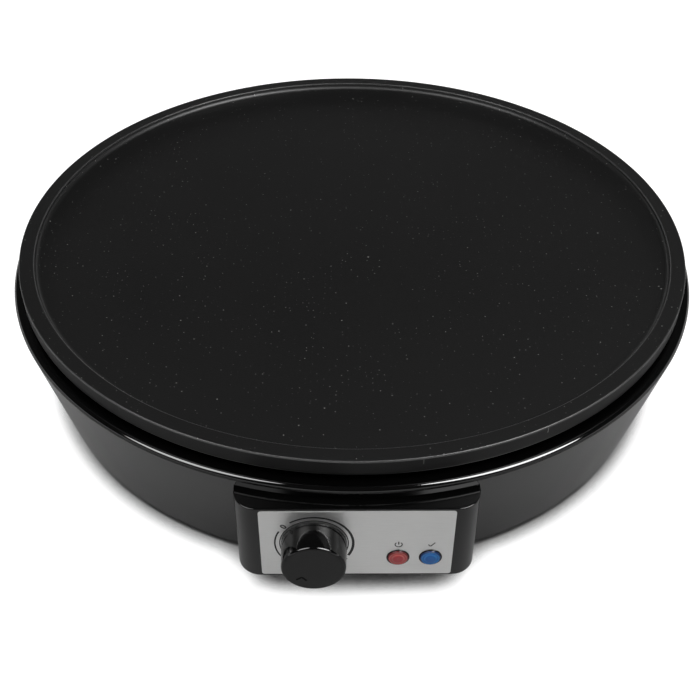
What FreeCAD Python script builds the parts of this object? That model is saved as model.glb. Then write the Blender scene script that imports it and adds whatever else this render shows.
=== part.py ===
import FreeCAD, Part
import math
import os

# Electric crepe maker: a round die-cast hot plate on a tapered black housing, with a control
# box on the front that carries a dial thermostat and two indicator lamps.
# Millimetres and degrees. The plate's axis is Z, the table is z = 0, the control box faces -Y.

Vector = FreeCAD.Vector
X_AXIS = Vector(1, 0, 0)
Y_AXIS = Vector(0, 1, 0)
Z_AXIS = Vector(0, 0, 1)
ORIGIN = Vector(0, 0, 0)

# Cooking plate
plate_r = 150.0
plate_top_z = 68.0
rim_w = 6.6
dish_depth = 3.0
dish_corner_r = 2.4
rim_edge = 0.4
plate_floor_t = 4.5
plate_lower_edge = 1.2
drip_ring_inset = 11.0
drip_ring_w = 2.5
drip_ring_h = 4.5
rib_count = 12
rib_t = 3.0
rib_h = 3.0

# Screws that hold the plate, and the spacer tubes they pass through
post_count = 3
post_first_angle = 30.0
post_pitch_r = 70.0
post_boss_r = 7.0
post_boss_h = 8.5
spacer_r = 5.0
spacer_bore_r = 2.4
plate_screw_r = 2.0
plate_screw_head_r = 3.6
plate_screw_head_h = 2.4
plate_screw_bite = 6.0

# Heating element, a sheathed tube bent to an open ring with its ends turned down
element_ring_r = 100.0
element_tube_r = 3.3
element_gap_half_angle = 14.0
element_bend_r = 9.0
element_tail = 6.0
element_pin_r = 1.4
element_pin_l = 13.0
element_channel_wall = 2.5
element_channel_h = 3.2
seal_r = 4.8
seal_l = 7.0
tab_w = 6.3
tab_t = 0.8
tab_l = 9.0

# Straps under the plate: element, sensor and fuse
strap_t = 1.0
strap_w = 12.0
strap_reach = 7.0
strap_end = 5.0
strap_boss_r = 4.0
strap_boss_gap = 6.0
clamp_count = 3
clamp_first_angle = 90.0
strap_screw_r = 1.7
strap_screw_head_r = 3.0
strap_screw_head_h = 1.9
strap_screw_bite = 4.2
strap_corner_r = 2.0
element_strap_boss_offset = 14.0

# Sensor bulb, capillary and thermal fuse
bulb_r = 3.0
bulb_l = 56.0
capillary_r = 1.0
capillary_bend_r = 6.0
longest_bend = 0.45
capillary_side = 29.25
capillary_exit_rise = 8.0
capillary_exit_side = 7.3
capillary_hole_r = 3.0
capillary_inset = 14.0
fuse_r = 2.2
fuse_l = 14.0
fuse_edge = 0.7
fuse_lead_r = 0.6
fuse_lead_l = 8.0
fuse_x = 40.0
fuse_y = -15.0

# Heat shield
shield_inset = 13.0
shield_t = 0.8
shield_rim_h = 6.0
shield_drop = 5.2

# Housing shell
flange_overhang = 4.0
flange_gap = 3.0
flange_edge_r = 2.1
flange_lip_gap = 3.35
flange_lip_w = 2.0
flange_lip_h = 2.0
skirt_draw_in = 11.7
skirt_bottom_z = 4.0
wall = 2.5
cover_boss_count = 6
cover_boss_first_angle = 0.0
cover_boss_inset = 10.8
cover_boss_r = 4.5
cover_boss_h = 24.0
web_t = 2.5

# Control box
box_half_w = 45.0
box_overhang = 4.5
box_top_drop = 2.4
box_h = 38.5
box_corner_r = 9.0
box_edge_r = 0.8
box_front_wall = 3.5
window_side = 8.0
window_margin_z = 1.5
box_screw_inset = 5.4
box_screw_edge_z = 7.2
box_screw_boss_r = 3.2
box_screw_pad_r = 4.2
box_screw_pad_h = 2.0
box_screw_r = 1.5
box_screw_head_r = 2.9
box_screw_head_h = 1.8
box_screw_l = 15.0

# Control panel
panel_side = 9.35
panel_h = 35.7
panel_t = 1.2
panel_proud = 0.3
panel_corner_r = 1.0
panel_edge = 0.25

# Places across the control box, as shares of its half width
dial_place = -0.35
lamp_places = {"power": 0.342, "ready": 0.611}

# Thermostat
dial_rise = 0.25
thermostat_side_gap = 1.65
thermostat_h = 30.0
thermostat_d = 18.0
thermostat_edge_r = 2.0
bushing_r = 4.3
bushing_l = 3.0
shaft_r = 3.0
shaft_depth = 9.0
shaft_flat = 1.5
thermostat_screw_margin = 10.0
thermostat_screw_r = 1.6
thermostat_screw_head_r = 3.0
thermostat_screw_l = 8.0
thermostat_tab_drop = 8.0

# Dial knob
knob_base_r = 12.2
knob_face_r = 11.7
knob_l = 11.6
knob_edge_r = 1.1
knob_wall = 2.2
knob_face_t = 2.4
knob_gap = 0.5
knob_hub_r = 5.0
knob_rib_count = 4
knob_rib_first_angle = 45.0
knob_rib_t = 1.4
knob_clip_t = 0.6
knob_clip_w = 4.0
knob_clip_mouth = 3.0
pointer_angle = 225.0
pointer_half_angle = 40.0
pointer_pitch_r = 7.3
pointer_size = 2.7
pointer_line_w = 0.7
pointer_depth = 0.3

# Indicator lamps
lamp_drop = 7.95
bezel_r = 4.34
bezel_ring_w = 0.6
bezel_proud = 0.7
bezel_edge = 0.23
bezel_tube_r = 3.9
bezel_bore_r = 3.0
bezel_tube_l = 14.0
lens_depth = 2.2
lens_dome = 0.5
lens_button_r = 2.1
lamp_r = 2.8
lamp_l = 11.0

# Bottom cover, feet and inlet
cover_t = 2.5
cover_recess = 1.5
cover_screw_r = 1.7
cover_screw_head_r = 3.4
cover_screw_head_h = 2.0
cover_screw_bite = 10.0
vent_ring_rs = (50.0, 96.0)
vent_counts = (8, 12)
vent_l = 10.0
vent_w = 3.0
foot_count = 4
foot_first_angle = 45.0
foot_inset = 30.3
foot_r = 10.0
foot_sole_r = 8.8
foot_stem_r = 3.2
foot_barb_r = 4.5
foot_barb_h = 3.0
inlet_z = 22.0
inlet_bore_r = 3.5
gland_waist_r = 6.0
gland_flange_r = 8.5
gland_flange_t = 2.5
gland_edge = 0.8
gland_lip_r = 7.4
gland_lip_t = 2.0
inlet_seat_r = 10.5
inlet_seat_wall = 2.0
inlet_seat_recess = 2.9
terminal_inset = 42.3
terminal_block_w = 30.0
terminal_block_d = 16.0
terminal_block_h = 12.0
terminal_pitch = 9.0
ferrule_r = 2.1
ferrule_inset = 1.0
terminal_notch_h = 3.0
terminal_screw_r = 1.4
terminal_screw_head_r = 2.7
terminal_screw_head_h = 1.7
earth_inset = 48.0
earth_y = 30.0
earth_tag_r = 4.5
earth_tag_t = 0.8
earth_blade_l = 12.0

# Clearances
touch = 0.1
cut_past = 1.0
shield_hole_clear = 1.0
screw_clear = 0.3
thread_clear = 0.05
running_clear = 0.06
seat_clear = 0.15
element_clear = 0.4
cover_clear = 0.3
same_place = 1e-6

# Radii and places worked out from the sizes above
flange_r = plate_r + flange_overhang
skirt_bottom_r = flange_r - skirt_draw_in
drip_ring_r = plate_r - drip_ring_inset
flange_inner_r = drip_ring_r + drip_ring_w / 2 + flange_lip_gap
shield_r = drip_ring_r - shield_inset
capillary_rise_y = capillary_inset - shield_r
cover_boss_pitch_r = skirt_bottom_r - cover_boss_inset
foot_pitch_r = skirt_bottom_r - foot_inset
terminal_block_y = skirt_bottom_r - terminal_inset
box_face_y = -(flange_r + box_overhang)
box_back_y = -plate_r / 2
window_half_w = box_half_w - window_side
panel_w = 2 * (box_half_w - panel_side)
dial_x = dial_place * box_half_w
lamp_x = {name: place * box_half_w for name, place in lamp_places.items()}
box_screw_x = box_half_w - box_screw_inset
thermostat_w = 2 * (box_screw_x - box_screw_boss_r - thermostat_side_gap + dial_x)
thermostat_screw_pitch = thermostat_w - thermostat_screw_margin
capillary_exit_x = dial_x - capillary_exit_side
earth_x = shield_r - earth_inset

# Levels worked out from the sizes above
dish_z = plate_top_z - dish_depth
plate_under_z = dish_z - plate_floor_t
dish_r = plate_r - rim_w
element_z = plate_under_z - element_tube_r - touch
element_seat_z = element_z - element_tube_r - touch
bulb_z = plate_under_z - bulb_r - touch
bulb_seat_z = bulb_z - bulb_r - touch
fuse_z = plate_under_z - fuse_r - touch
fuse_seat_z = fuse_z - fuse_r - touch
post_boss_z = plate_under_z - post_boss_h
shield_bottom_z = post_boss_z - shield_drop - shield_t
shield_top_z = shield_bottom_z + shield_t
flange_top_z = plate_under_z - flange_gap
skirt_top_z = flange_top_z - flange_edge_r
skirt_slope = (flange_r - skirt_bottom_r) / (skirt_top_z - skirt_bottom_z)
cover_under_z = skirt_bottom_z + cover_recess
cover_top_z = cover_under_z + cover_t
box_top_z = skirt_top_z - box_top_drop
box_bottom_z = box_top_z - box_h
panel_centre_z = (box_top_z + box_bottom_z) / 2
dial_z = panel_centre_z + dial_rise
lamp_z = panel_centre_z - lamp_drop
capillary_exit_z = dial_z + capillary_exit_rise
box_wall_back_y = box_face_y + box_front_wall
panel_front_y = box_face_y - panel_proud
panel_back_y = panel_front_y + panel_t
thermostat_back_y = box_wall_back_y + thermostat_d
knob_base_y = panel_front_y - knob_gap
knob_face_y = knob_base_y - knob_l
lens_r = bezel_r - bezel_ring_w
strap_boss_offset = bulb_r + strap_boss_gap


def polar(radius, angle, z=0.0):
    a = math.radians(angle)
    return Vector(radius * math.cos(a), radius * math.sin(a), z)


def ring_angles(count, first):
    return [first + 360.0 * i / count for i in range(count)]


def skirt_r(z):
    return skirt_bottom_r + skirt_slope * (z - skirt_bottom_z)


def rod_z(r, z0, z1, x=0.0, y=0.0):
    return Part.makeCylinder(r, z1 - z0, Vector(x, y, z0), Z_AXIS)


def rod_y(r, y0, y1, x=0.0, z=0.0):
    return Part.makeCylinder(r, y1 - y0, Vector(x, y0, z), Y_AXIS)


def tube_z(r_out, r_in, z0, z1, x=0.0, y=0.0):
    return rod_z(r_out, z0, z1, x, y).cut(rod_z(r_in, z0, z1, x, y))


def block(x0, x1, y0, y1, z0, z1):
    return Part.makeBox(x1 - x0, y1 - y0, z1 - z0, Vector(x0, y0, z0))


def profile_wire(steps, place):
    """Close a profile. A step is an end point, or an arc's middle point and its end point."""
    edges = []
    last = place(*steps[0])
    for step in steps[1:]:
        end = place(*step[-2:])
        if len(step) == 4:
            edges.append(Part.Arc(last, place(*step[:2]), end).toShape())
        else:
            edges.append(Part.LineSegment(last, end).toShape())
        last = end
    start = place(*steps[0])
    if last.distanceToPoint(start) > same_place:
        edges.append(Part.LineSegment(last, start).toShape())
    return Part.Wire(edges)


def revolved(steps, axis):
    def on_z(r, h):
        return Vector(r, 0, h)

    def on_y(r, h):
        return Vector(r, h, 0)

    wire = profile_wire(steps, on_z if axis == Z_AXIS else on_y)
    return Part.Face(wire).revolve(ORIGIN, axis, 360)


def quarter(centre_r, centre_h, radius, angle_mid, angle_end):
    """Arc step of a profile about a centre, given by its middle and end angles."""
    m = math.radians(angle_mid)
    e = math.radians(angle_end)
    return (centre_r + radius * math.cos(m), centre_h + radius * math.sin(m),
            centre_r + radius * math.cos(e), centre_h + radius * math.sin(e))


def moved(shape, x=0.0, y=0.0, z=0.0):
    copy = shape.copy()
    copy.translate(Vector(x, y, z))
    return copy


def turned(shape, angle, axis=Z_AXIS, centre=ORIGIN):
    copy = shape.copy()
    copy.rotate(centre, axis, angle)
    return copy


def group(solids):
    return Part.makeCompound(solids)


def straps():
    """Place of each strap under the plate: x, y and direction of its boss, seat level, reach."""
    places = []
    for angle in ring_angles(clamp_count, clamp_first_angle):
        centre = polar(element_ring_r, angle)
        places.append((centre.x, centre.y, angle + 180.0, element_seat_z, element_strap_boss_offset))
    places.append((0.0, 0.0, 90.0, bulb_seat_z, strap_boss_offset))
    places.append((fuse_x, fuse_y, -90.0, fuse_seat_z, strap_boss_offset))
    return places


def strap_boss_place(x, y, direction, offset):
    return Vector(x, y, 0) + polar(offset, direction)


# Cooking plate and what hangs under it

def plate_body():
    """Die-cast dish with a flat rim, a filleted floor and a rounded lower edge."""
    corner = quarter(dish_r - dish_corner_r, dish_z + dish_corner_r, dish_corner_r, -45, 0)
    lower = quarter(plate_r - plate_lower_edge, plate_under_z + plate_lower_edge, plate_lower_edge, -45, -90)
    return revolved([
        (0, plate_under_z),
        (0, dish_z),
        (dish_r - dish_corner_r, dish_z),
        corner,
        (dish_r, plate_top_z - rim_edge),
        (dish_r + rim_edge, plate_top_z),
        (plate_r - rim_edge, plate_top_z),
        (plate_r, plate_top_z - rim_edge),
        (plate_r, plate_under_z + plate_lower_edge),
        lower,
    ], Z_AXIS)


def plate_rings():
    """Drip ring that laps the housing's lip, and the two walls of the element's channel."""
    inner = element_ring_r - element_tube_r - element_clear
    outer = element_ring_r + element_tube_r + element_clear
    channel_z = plate_under_z - element_channel_h
    return [
        tube_z(drip_ring_r + drip_ring_w / 2, drip_ring_r - drip_ring_w / 2,
               plate_under_z - drip_ring_h, plate_under_z),
        tube_z(inner, inner - element_channel_wall, channel_z, plate_under_z),
        tube_z(outer + element_channel_wall, outer, channel_z, plate_under_z),
    ]


def plate_ribs():
    start = element_ring_r + element_tube_r + element_clear + element_channel_wall / 2
    rib = block(start, drip_ring_r, -rib_t / 2, rib_t / 2, plate_under_z - rib_h, plate_under_z)
    return [turned(rib, angle) for angle in ring_angles(rib_count, 180.0 / rib_count)]


def make_cooking_plate():
    plate = plate_body()
    bosses = []
    holes = []
    for angle in ring_angles(post_count, post_first_angle):
        at = polar(post_pitch_r, angle)
        bosses.append(rod_z(post_boss_r, post_boss_z, plate_under_z, at.x, at.y))
        holes.append(rod_z(plate_screw_r + thread_clear, post_boss_z,
                           post_boss_z + plate_screw_bite + cut_past, at.x, at.y))
    for x, y, direction, seat_z, offset in straps():
        at = strap_boss_place(x, y, direction, offset)
        bosses.append(rod_z(strap_boss_r, seat_z, plate_under_z, at.x, at.y))
        holes.append(rod_z(strap_screw_r + thread_clear, seat_z, seat_z + strap_screw_bite + cut_past,
                           at.x, at.y))
    plate = plate.fuse(plate_rings() + plate_ribs() + bosses)
    return plate.cut(holes).removeSplitter()


def element_end(side):
    """Place and direction of the tube where it leaves the ring, on one side of the gap."""
    angle = -90.0 + side * element_gap_half_angle
    return polar(element_ring_r, angle, element_z), polar(1.0, angle - side * 90.0)


def element_tail_place(side):
    start, heading = element_end(side)
    return start + heading * element_bend_r


def make_heating_element():
    gap = 2 * element_gap_half_angle
    ring = Part.makeTorus(element_ring_r, element_tube_r, Vector(0, 0, element_z), Z_AXIS, 0, 360, 360 - gap)
    pieces = [turned(ring, -90.0 + element_gap_half_angle)]
    for side in (-1, 1):
        start, heading = element_end(side)
        centre = start - Z_AXIS * element_bend_r
        profile = Part.Face(Part.Wire(Part.makeCircle(element_tube_r, start, heading)))
        pieces.append(profile.revolve(centre, Z_AXIS.cross(heading), 90))
        tail = element_tail_place(side) - Z_AXIS * element_bend_r
        pieces.append(rod_z(element_tube_r, tail.z - element_tail, tail.z, tail.x, tail.y))
        pieces.append(rod_z(element_pin_r, tail.z - element_tail - element_pin_l, tail.z, tail.x, tail.y))
    return pieces[0].fuse(pieces[1:]).removeSplitter()


element_tail_z = element_z - element_bend_r - element_tail
seal_top_z = element_tail_z + seal_l / 2
seal_bottom_z = seal_top_z - seal_l
tab_top_z = seal_bottom_z - touch


def make_element_seals():
    seals = []
    for side in (-1, 1):
        at = element_tail_place(side)
        seal = rod_z(seal_r, seal_bottom_z, seal_top_z, at.x, at.y)
        seal = seal.cut(rod_z(element_tube_r + thread_clear, element_tail_z - touch, seal_top_z, at.x, at.y))
        seals.append(seal.cut(rod_z(element_pin_r + thread_clear, seal_bottom_z, seal_top_z, at.x, at.y)))
    return group(seals)


def blade_tab(x, y, top_z):
    """Push-on blade on a pin: a short sleeve round the pin, then the flat blade."""
    sleeve = rod_z(element_pin_r + tab_t + thread_clear, top_z - tab_l / 2, top_z, x, y)
    blade = block(x - tab_w / 2, x + tab_w / 2, y - tab_t / 2, y + tab_t / 2,
                  top_z - 2 * tab_l, top_z - tab_l / 2)
    pin_end_z = element_tail_z - element_pin_l - touch
    tab = sleeve.fuse(blade)
    return tab.cut(rod_z(element_pin_r + thread_clear, pin_end_z, top_z, x, y))


def make_element_tabs():
    places = [element_tail_place(side) for side in (-1, 1)]
    return group([blade_tab(at.x, at.y, tab_top_z) for at in places])


def strap(x, y, direction, seat_z, offset):
    """Flat sheet strap from a screw boss to just past what it holds up."""
    flat = block(-strap_reach, offset + strap_end, -strap_w / 2, strap_w / 2, seat_z - strap_t, seat_z)
    upright = [e for e in flat.Edges if abs(e.BoundBox.ZLength - strap_t) < same_place]
    flat = flat.makeFillet(strap_corner_r, upright)
    flat = flat.cut(rod_z(strap_screw_r + screw_clear / 2, seat_z - strap_t, seat_z, offset, 0))
    return moved(turned(flat, direction), x, y)


def make_element_clamps():
    return group([strap(*place) for place in straps()[:clamp_count]])


def make_sensor_clip():
    return strap(*straps()[clamp_count])


def make_fuse_clip():
    return strap(*straps()[clamp_count + 1])


def plain_screw(x, y, seat_z, shank_r, length, head_r, head_h):
    """Screw that stays hidden, with its head under the level seat_z and no recess."""
    return rod_z(head_r, seat_z - head_h, seat_z, x, y).fuse(rod_z(shank_r, seat_z, seat_z + length, x, y))


def screw_up(x, y, seat_z, shank_r, length, head_r, head_h):
    """Screw driven upwards, with a chamfered and recessed head under the level seat_z."""
    edge = head_h / 3
    profile = [(0, -head_h), (head_r - edge, -head_h), (head_r, edge - head_h), (head_r, 0), (0, 0)]
    head = moved(revolved(profile, Z_AXIS), x, y, seat_z)
    recess = rod_z(head_r / 3, seat_z - head_h, seat_z - head_h / 2, x, y)
    return head.fuse(rod_z(shank_r, seat_z - head_h / 2, seat_z + length, x, y)).cut(recess).removeSplitter()


def make_strap_screws():
    screws = []
    for x, y, direction, seat_z, offset in straps():
        at = strap_boss_place(x, y, direction, offset)
        screws.append(plain_screw(at.x, at.y, seat_z - strap_t, strap_screw_r, strap_t + strap_screw_bite,
                                  strap_screw_head_r, strap_screw_head_h))
    return group(screws)


def rounded_path(points, radius):
    """Straight runs joined by tangent arcs of at most the given radius."""
    edges = []
    last = points[0]
    for before, corner, after in zip(points, points[1:], points[2:]):
        a = (before - corner).normalize()
        b = (after - corner).normalize()
        half = a.getAngle(b) / 2
        shorter = min(before.distanceToPoint(corner), after.distanceToPoint(corner))
        set_back = min(radius / math.tan(half), longest_bend * shorter)
        bend = set_back * math.tan(half)
        centre = corner + (a + b).normalize() * (bend / math.sin(half))
        middle = centre + (corner - centre).normalize() * bend
        edges.append(Part.LineSegment(last, corner + a * set_back).toShape())
        edges.append(Part.Arc(corner + a * set_back, middle, corner + b * set_back).toShape())
        last = corner + b * set_back
    edges.append(Part.LineSegment(last, points[-1]).toShape())
    return Part.Wire(edges)


def tube_along(points, r, radius):
    path = rounded_path(points, radius)
    start = points[0]
    heading = (points[1] - points[0]).normalize()
    profile = Part.Wire(Part.makeCircle(r, start, heading))
    return path.makePipeShell([profile], True, False)


def make_sensor():
    """Bulb under the plate's centre with its capillary down to the thermostat."""
    under_z = (shield_top_z + element_seat_z - strap_t) / 2
    points = [
        Vector(capillary_exit_x, thermostat_back_y, capillary_exit_z),
        Vector(capillary_exit_x, capillary_rise_y, capillary_exit_z),
        Vector(capillary_exit_x, capillary_rise_y, under_z),
        Vector(dial_x - capillary_side, -capillary_side, under_z),
        Vector(dial_x - capillary_side, 0, bulb_z),
        Vector(-bulb_l / 2 + bulb_r, 0, bulb_z),
    ]
    capillary = tube_along(points, capillary_r, capillary_bend_r)
    bulb = Part.makeCylinder(bulb_r, bulb_l, Vector(-bulb_l / 2, 0, bulb_z), X_AXIS)
    bulb = bulb.makeChamfer(bulb_r / 2, [e for e in bulb.Edges if abs(e.BoundBox.XLength) < same_place])
    return capillary.fuse(bulb).removeSplitter()


def make_thermal_fuse():
    body = Part.makeCylinder(fuse_r, fuse_l, Vector(fuse_x - fuse_l / 2, fuse_y, fuse_z), X_AXIS)
    body = body.makeChamfer(fuse_edge, [e for e in body.Edges if abs(e.BoundBox.XLength) < same_place])
    lead_l = fuse_l + 2 * fuse_lead_l
    lead = Part.makeCylinder(fuse_lead_r, lead_l, Vector(fuse_x - lead_l / 2, fuse_y, fuse_z), X_AXIS)
    return body.fuse(lead).removeSplitter()


def post_places():
    return [polar(post_pitch_r, angle) for angle in ring_angles(post_count, post_first_angle)]


def make_heat_shield():
    """Shallow dish of sheet metal between the element and the base."""
    dish = rod_z(shield_r, shield_bottom_z, shield_top_z)
    rim = tube_z(shield_r, shield_r - shield_t, shield_bottom_z, shield_top_z + shield_rim_h)
    holes = [rod_z(plate_screw_r + screw_clear, shield_bottom_z, shield_top_z, at.x, at.y)
             for at in post_places()]
    for side in (-1, 1):
        at = element_tail_place(side)
        holes.append(rod_z(seal_r + shield_hole_clear, shield_bottom_z, shield_top_z, at.x, at.y))
    holes.append(rod_z(capillary_hole_r, shield_bottom_z, shield_top_z, capillary_exit_x, capillary_rise_y))
    holes.append(rod_z(strap_screw_r + thread_clear, shield_bottom_z, shield_top_z, earth_x, earth_y))
    return dish.fuse(rim).cut(holes).removeSplitter()


def spacers(z0, z1):
    return group([tube_z(spacer_r, spacer_bore_r, z0, z1, at.x, at.y) for at in post_places()])


def make_lower_spacers():
    return spacers(cover_top_z, shield_bottom_z)


def make_upper_spacers():
    return spacers(shield_top_z, post_boss_z)


def make_plate_screws():
    length = post_boss_z + plate_screw_bite - cover_under_z
    return group([screw_up(at.x, at.y, cover_under_z, plate_screw_r, length, plate_screw_head_r,
                           plate_screw_head_h) for at in post_places()])


def make_earth_tag():
    tag = rod_z(earth_tag_r, shield_bottom_z - earth_tag_t, shield_bottom_z, earth_x, earth_y)
    blade = block(earth_x, earth_x + earth_tag_r + earth_blade_l, earth_y - tab_w / 2, earth_y + tab_w / 2,
                  shield_bottom_z - earth_tag_t, shield_bottom_z)
    hole = rod_z(strap_screw_r + screw_clear / 2, shield_bottom_z - earth_tag_t, shield_bottom_z,
                 earth_x, earth_y)
    return tag.fuse(blade).cut(hole).removeSplitter()


def make_earth_screw():
    return plain_screw(earth_x, earth_y, shield_bottom_z - earth_tag_t, strap_screw_r,
                       earth_tag_t + shield_t + strap_screw_r, strap_screw_head_r, strap_screw_head_h)


# Housing, control box and base

def cone_solid(inset):
    """Solid of revolution under the flange, inside the skirt's outer face by the inset."""
    low = skirt_bottom_r - inset
    high = flange_r - inset
    return Part.makeCone(low, high, skirt_top_z - skirt_bottom_z, Vector(0, 0, skirt_bottom_z), Z_AXIS)


def housing_shell():
    """Tapered skirt, rounded flange and an inner lip that the plate's drip ring laps."""
    lip_top_z = flange_top_z + flange_lip_h
    flange_under_z = flange_top_z - wall
    edge = quarter(flange_r - flange_edge_r, skirt_top_z, flange_edge_r, 45, 90)
    fold = quarter(flange_r - wall - flange_edge_r, flange_under_z - flange_edge_r, flange_edge_r, 45, 0)
    return revolved([
        (skirt_bottom_r - wall, skirt_bottom_z),
        (skirt_bottom_r, skirt_bottom_z),
        (flange_r, skirt_top_z),
        edge,
        (flange_inner_r + flange_lip_w, flange_top_z),
        (flange_inner_r + flange_lip_w, lip_top_z),
        (flange_inner_r, lip_top_z),
        (flange_inner_r, flange_under_z),
        (flange_r - wall - flange_edge_r, flange_under_z),
        fold,
    ], Z_AXIS)


def cover_boss_places():
    angles = ring_angles(cover_boss_count, cover_boss_first_angle)
    return [polar(cover_boss_pitch_r, angle) for angle in angles]


def housing_bosses():
    """Bosses for the cover's screws, each tied to the skirt by a web."""
    boss = rod_z(cover_boss_r, cover_top_z, cover_top_z + cover_boss_h, cover_boss_pitch_r, 0)
    web = block(cover_boss_pitch_r, flange_r, -web_t / 2, web_t / 2, cover_top_z, cover_top_z + cover_boss_h)
    return [turned(boss.fuse(web), angle) for angle in ring_angles(cover_boss_count, cover_boss_first_angle)]


def box_screw_places():
    levels = (box_bottom_z + box_screw_edge_z, box_top_z - box_screw_edge_z)
    return [(side * box_screw_x, z) for side in (-1, 1) for z in levels]


def skirt_y(x, z, inset=0.0):
    """Depth of the skirt's front at a place on the control box."""
    r = skirt_r(z) - inset
    return -math.sqrt(r * r - x * x)


def box_screw_seat_y(x, z):
    return skirt_y(x, z - box_screw_pad_r, wall) + box_screw_pad_h


def box_screw_pads():
    return [rod_y(box_screw_pad_r, skirt_y(x, z) - wall, box_screw_seat_y(x, z), x, z)
            for x, z in box_screw_places()]


inlet_floor_y = skirt_r(inlet_z) - inlet_seat_recess
inlet_back_y = inlet_floor_y - wall


def inlet_seat():
    """Recessed flat seat at the back for the cord's grommet, before its bore is cut."""
    return rod_y(inlet_seat_r + inlet_seat_wall, inlet_back_y, flange_r, 0, inlet_z)


def make_housing():
    mid_wall = cone_solid(wall / 2)
    inner_parts = [part.common(mid_wall) for part in housing_bosses() + box_screw_pads()]
    seat = inlet_seat().common(cone_solid(0.0))
    housing = housing_shell().fuse(inner_parts + [seat])
    window = block(-window_half_w, window_half_w, box_face_y, box_back_y,
                   box_bottom_z + window_margin_z, box_top_z - window_margin_z)
    cuts = [window]
    cuts.append(rod_y(inlet_seat_r, inlet_floor_y, flange_r, 0, inlet_z))
    cuts.append(rod_y(gland_waist_r + thread_clear, inlet_back_y, inlet_floor_y, 0, inlet_z))
    for x, z in box_screw_places():
        cuts.append(rod_y(box_screw_r + screw_clear, box_face_y, box_screw_seat_y(x, z), x, z))
    for at in cover_boss_places():
        cuts.append(rod_z(cover_screw_r + thread_clear, cover_top_z,
                          cover_top_z + cover_screw_bite + cut_past, at.x, at.y))
    return housing.cut(cuts).removeSplitter()


def box_prism(half_w, front_y, corner_r, z0, z1):
    """Upright prism open towards the housing, with two rounded front corners."""
    c = corner_r * (1 - math.sqrt(0.5))
    steps = [
        (-half_w, box_back_y),
        (-half_w, front_y + corner_r),
        (-half_w + c, front_y + c, -half_w + corner_r, front_y),
        (half_w - corner_r, front_y),
        (half_w - c, front_y + c, half_w, front_y + corner_r),
        (half_w, box_back_y),
    ]
    wire = profile_wire(steps, lambda x, y: Vector(x, y, z0))
    return Part.Face(wire).extrude(Vector(0, 0, z1 - z0))


def rounded_top_and_bottom(prism, z0, z1, radius):
    edges = []
    for edge in prism.Edges:
        box = edge.BoundBox
        level = box.ZLength < same_place and min(abs(box.ZMin - z0), abs(box.ZMin - z1)) < same_place
        if level and box.YMin < box_back_y - same_place:
            edges.append(edge)
    return prism.makeFillet(radius, edges)


def panel_block(clearance, y0, y1):
    w = panel_w / 2 + clearance
    h = panel_h / 2 + clearance
    plate = block(-w, w, y0, y1, panel_centre_z - h, panel_centre_z + h)
    upright = [e for e in plate.Edges if e.BoundBox.YLength > same_place]
    return plate.makeFillet(panel_corner_r + clearance, upright)


def thermostat_screw_places():
    return [(dial_x + side * thermostat_screw_pitch / 2, dial_z) for side in (-1, 1)]


def countersink(x, z, front_y):
    depth = thermostat_screw_head_r - thermostat_screw_r
    return Part.makeCone(thermostat_screw_head_r, thermostat_screw_r, depth, Vector(x, front_y, z), Y_AXIS)


def make_control_box():
    outer = box_prism(box_half_w, box_face_y, box_corner_r, box_bottom_z, box_top_z)
    outer = rounded_top_and_bottom(outer, box_bottom_z, box_top_z, box_edge_r)
    inner = box_prism(box_half_w - wall, box_wall_back_y, box_corner_r - wall,
                      box_bottom_z + wall, box_top_z - wall)
    bosses = [rod_y(box_screw_boss_r, box_wall_back_y - touch, box_back_y, x, z)
              for x, z in box_screw_places()]
    box = outer.cut(inner).fuse(bosses)
    cuts = [cone_solid(-seat_clear), panel_block(seat_clear, box_face_y - cut_past, panel_back_y)]
    cuts.append(rod_y(bushing_r + screw_clear, panel_back_y, box_wall_back_y, dial_x, dial_z))
    for x in lamp_x.values():
        cuts.append(rod_y(bezel_tube_r + touch, panel_back_y, box_wall_back_y, x, lamp_z))
    for x, z in thermostat_screw_places():
        cuts.append(rod_y(thermostat_screw_r + screw_clear / 2, panel_back_y, box_wall_back_y, x, z))
        cuts.append(countersink(x, z, panel_back_y))
    for x, z in box_screw_places():
        cuts.append(rod_y(box_screw_r + thread_clear, box_screw_tip_y(x, z) - cut_past,
                          skirt_y(x, z) + wall, x, z))
    return box.cut(cuts).removeSplitter()


def box_screw_tip_y(x, z):
    return box_screw_seat_y(x, z) - box_screw_l


def make_box_screws():
    screws = []
    for x, z in box_screw_places():
        seat = box_screw_seat_y(x, z)
        screw = plain_screw(0, 0, 0, box_screw_r, box_screw_l, box_screw_head_r, box_screw_head_h)
        screw = turned(screw, 90, X_AXIS)
        screws.append(moved(screw, x, seat, z))
    return group(screws)


def make_control_panel():
    panel = panel_block(0.0, panel_front_y, panel_back_y)
    rim = [e for e in panel.Edges if abs(e.BoundBox.YMax - panel_front_y) < same_place]
    panel = panel.makeChamfer(panel_edge, rim)
    holes = [rod_y(bushing_r + screw_clear, panel_front_y, panel_back_y, dial_x, dial_z)]
    holes += [rod_y(bezel_tube_r + touch, panel_front_y, panel_back_y, x, lamp_z) for x in lamp_x.values()]
    return panel.cut(holes)


def bezel(x):
    """Black ring on the panel with a tube behind it that carries the lens and the lamp."""
    front_y = panel_front_y - bezel_proud
    flange = rod_y(bezel_r, front_y, panel_front_y, x, lamp_z)
    rim = [e for e in flange.Edges if abs(e.BoundBox.YMax - front_y) < same_place]
    flange = flange.makeChamfer(bezel_edge, rim)
    tube = rod_y(bezel_tube_r, panel_front_y, panel_front_y + bezel_tube_l, x, lamp_z)
    body = flange.fuse(tube).cut(rod_y(bezel_bore_r, front_y, panel_front_y + bezel_tube_l, x, lamp_z))
    lens_seat = rod_y(lens_r + thread_clear, front_y - cut_past, front_y + lens_depth, x, lamp_z)
    return body.cut(lens_seat).removeSplitter()


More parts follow.
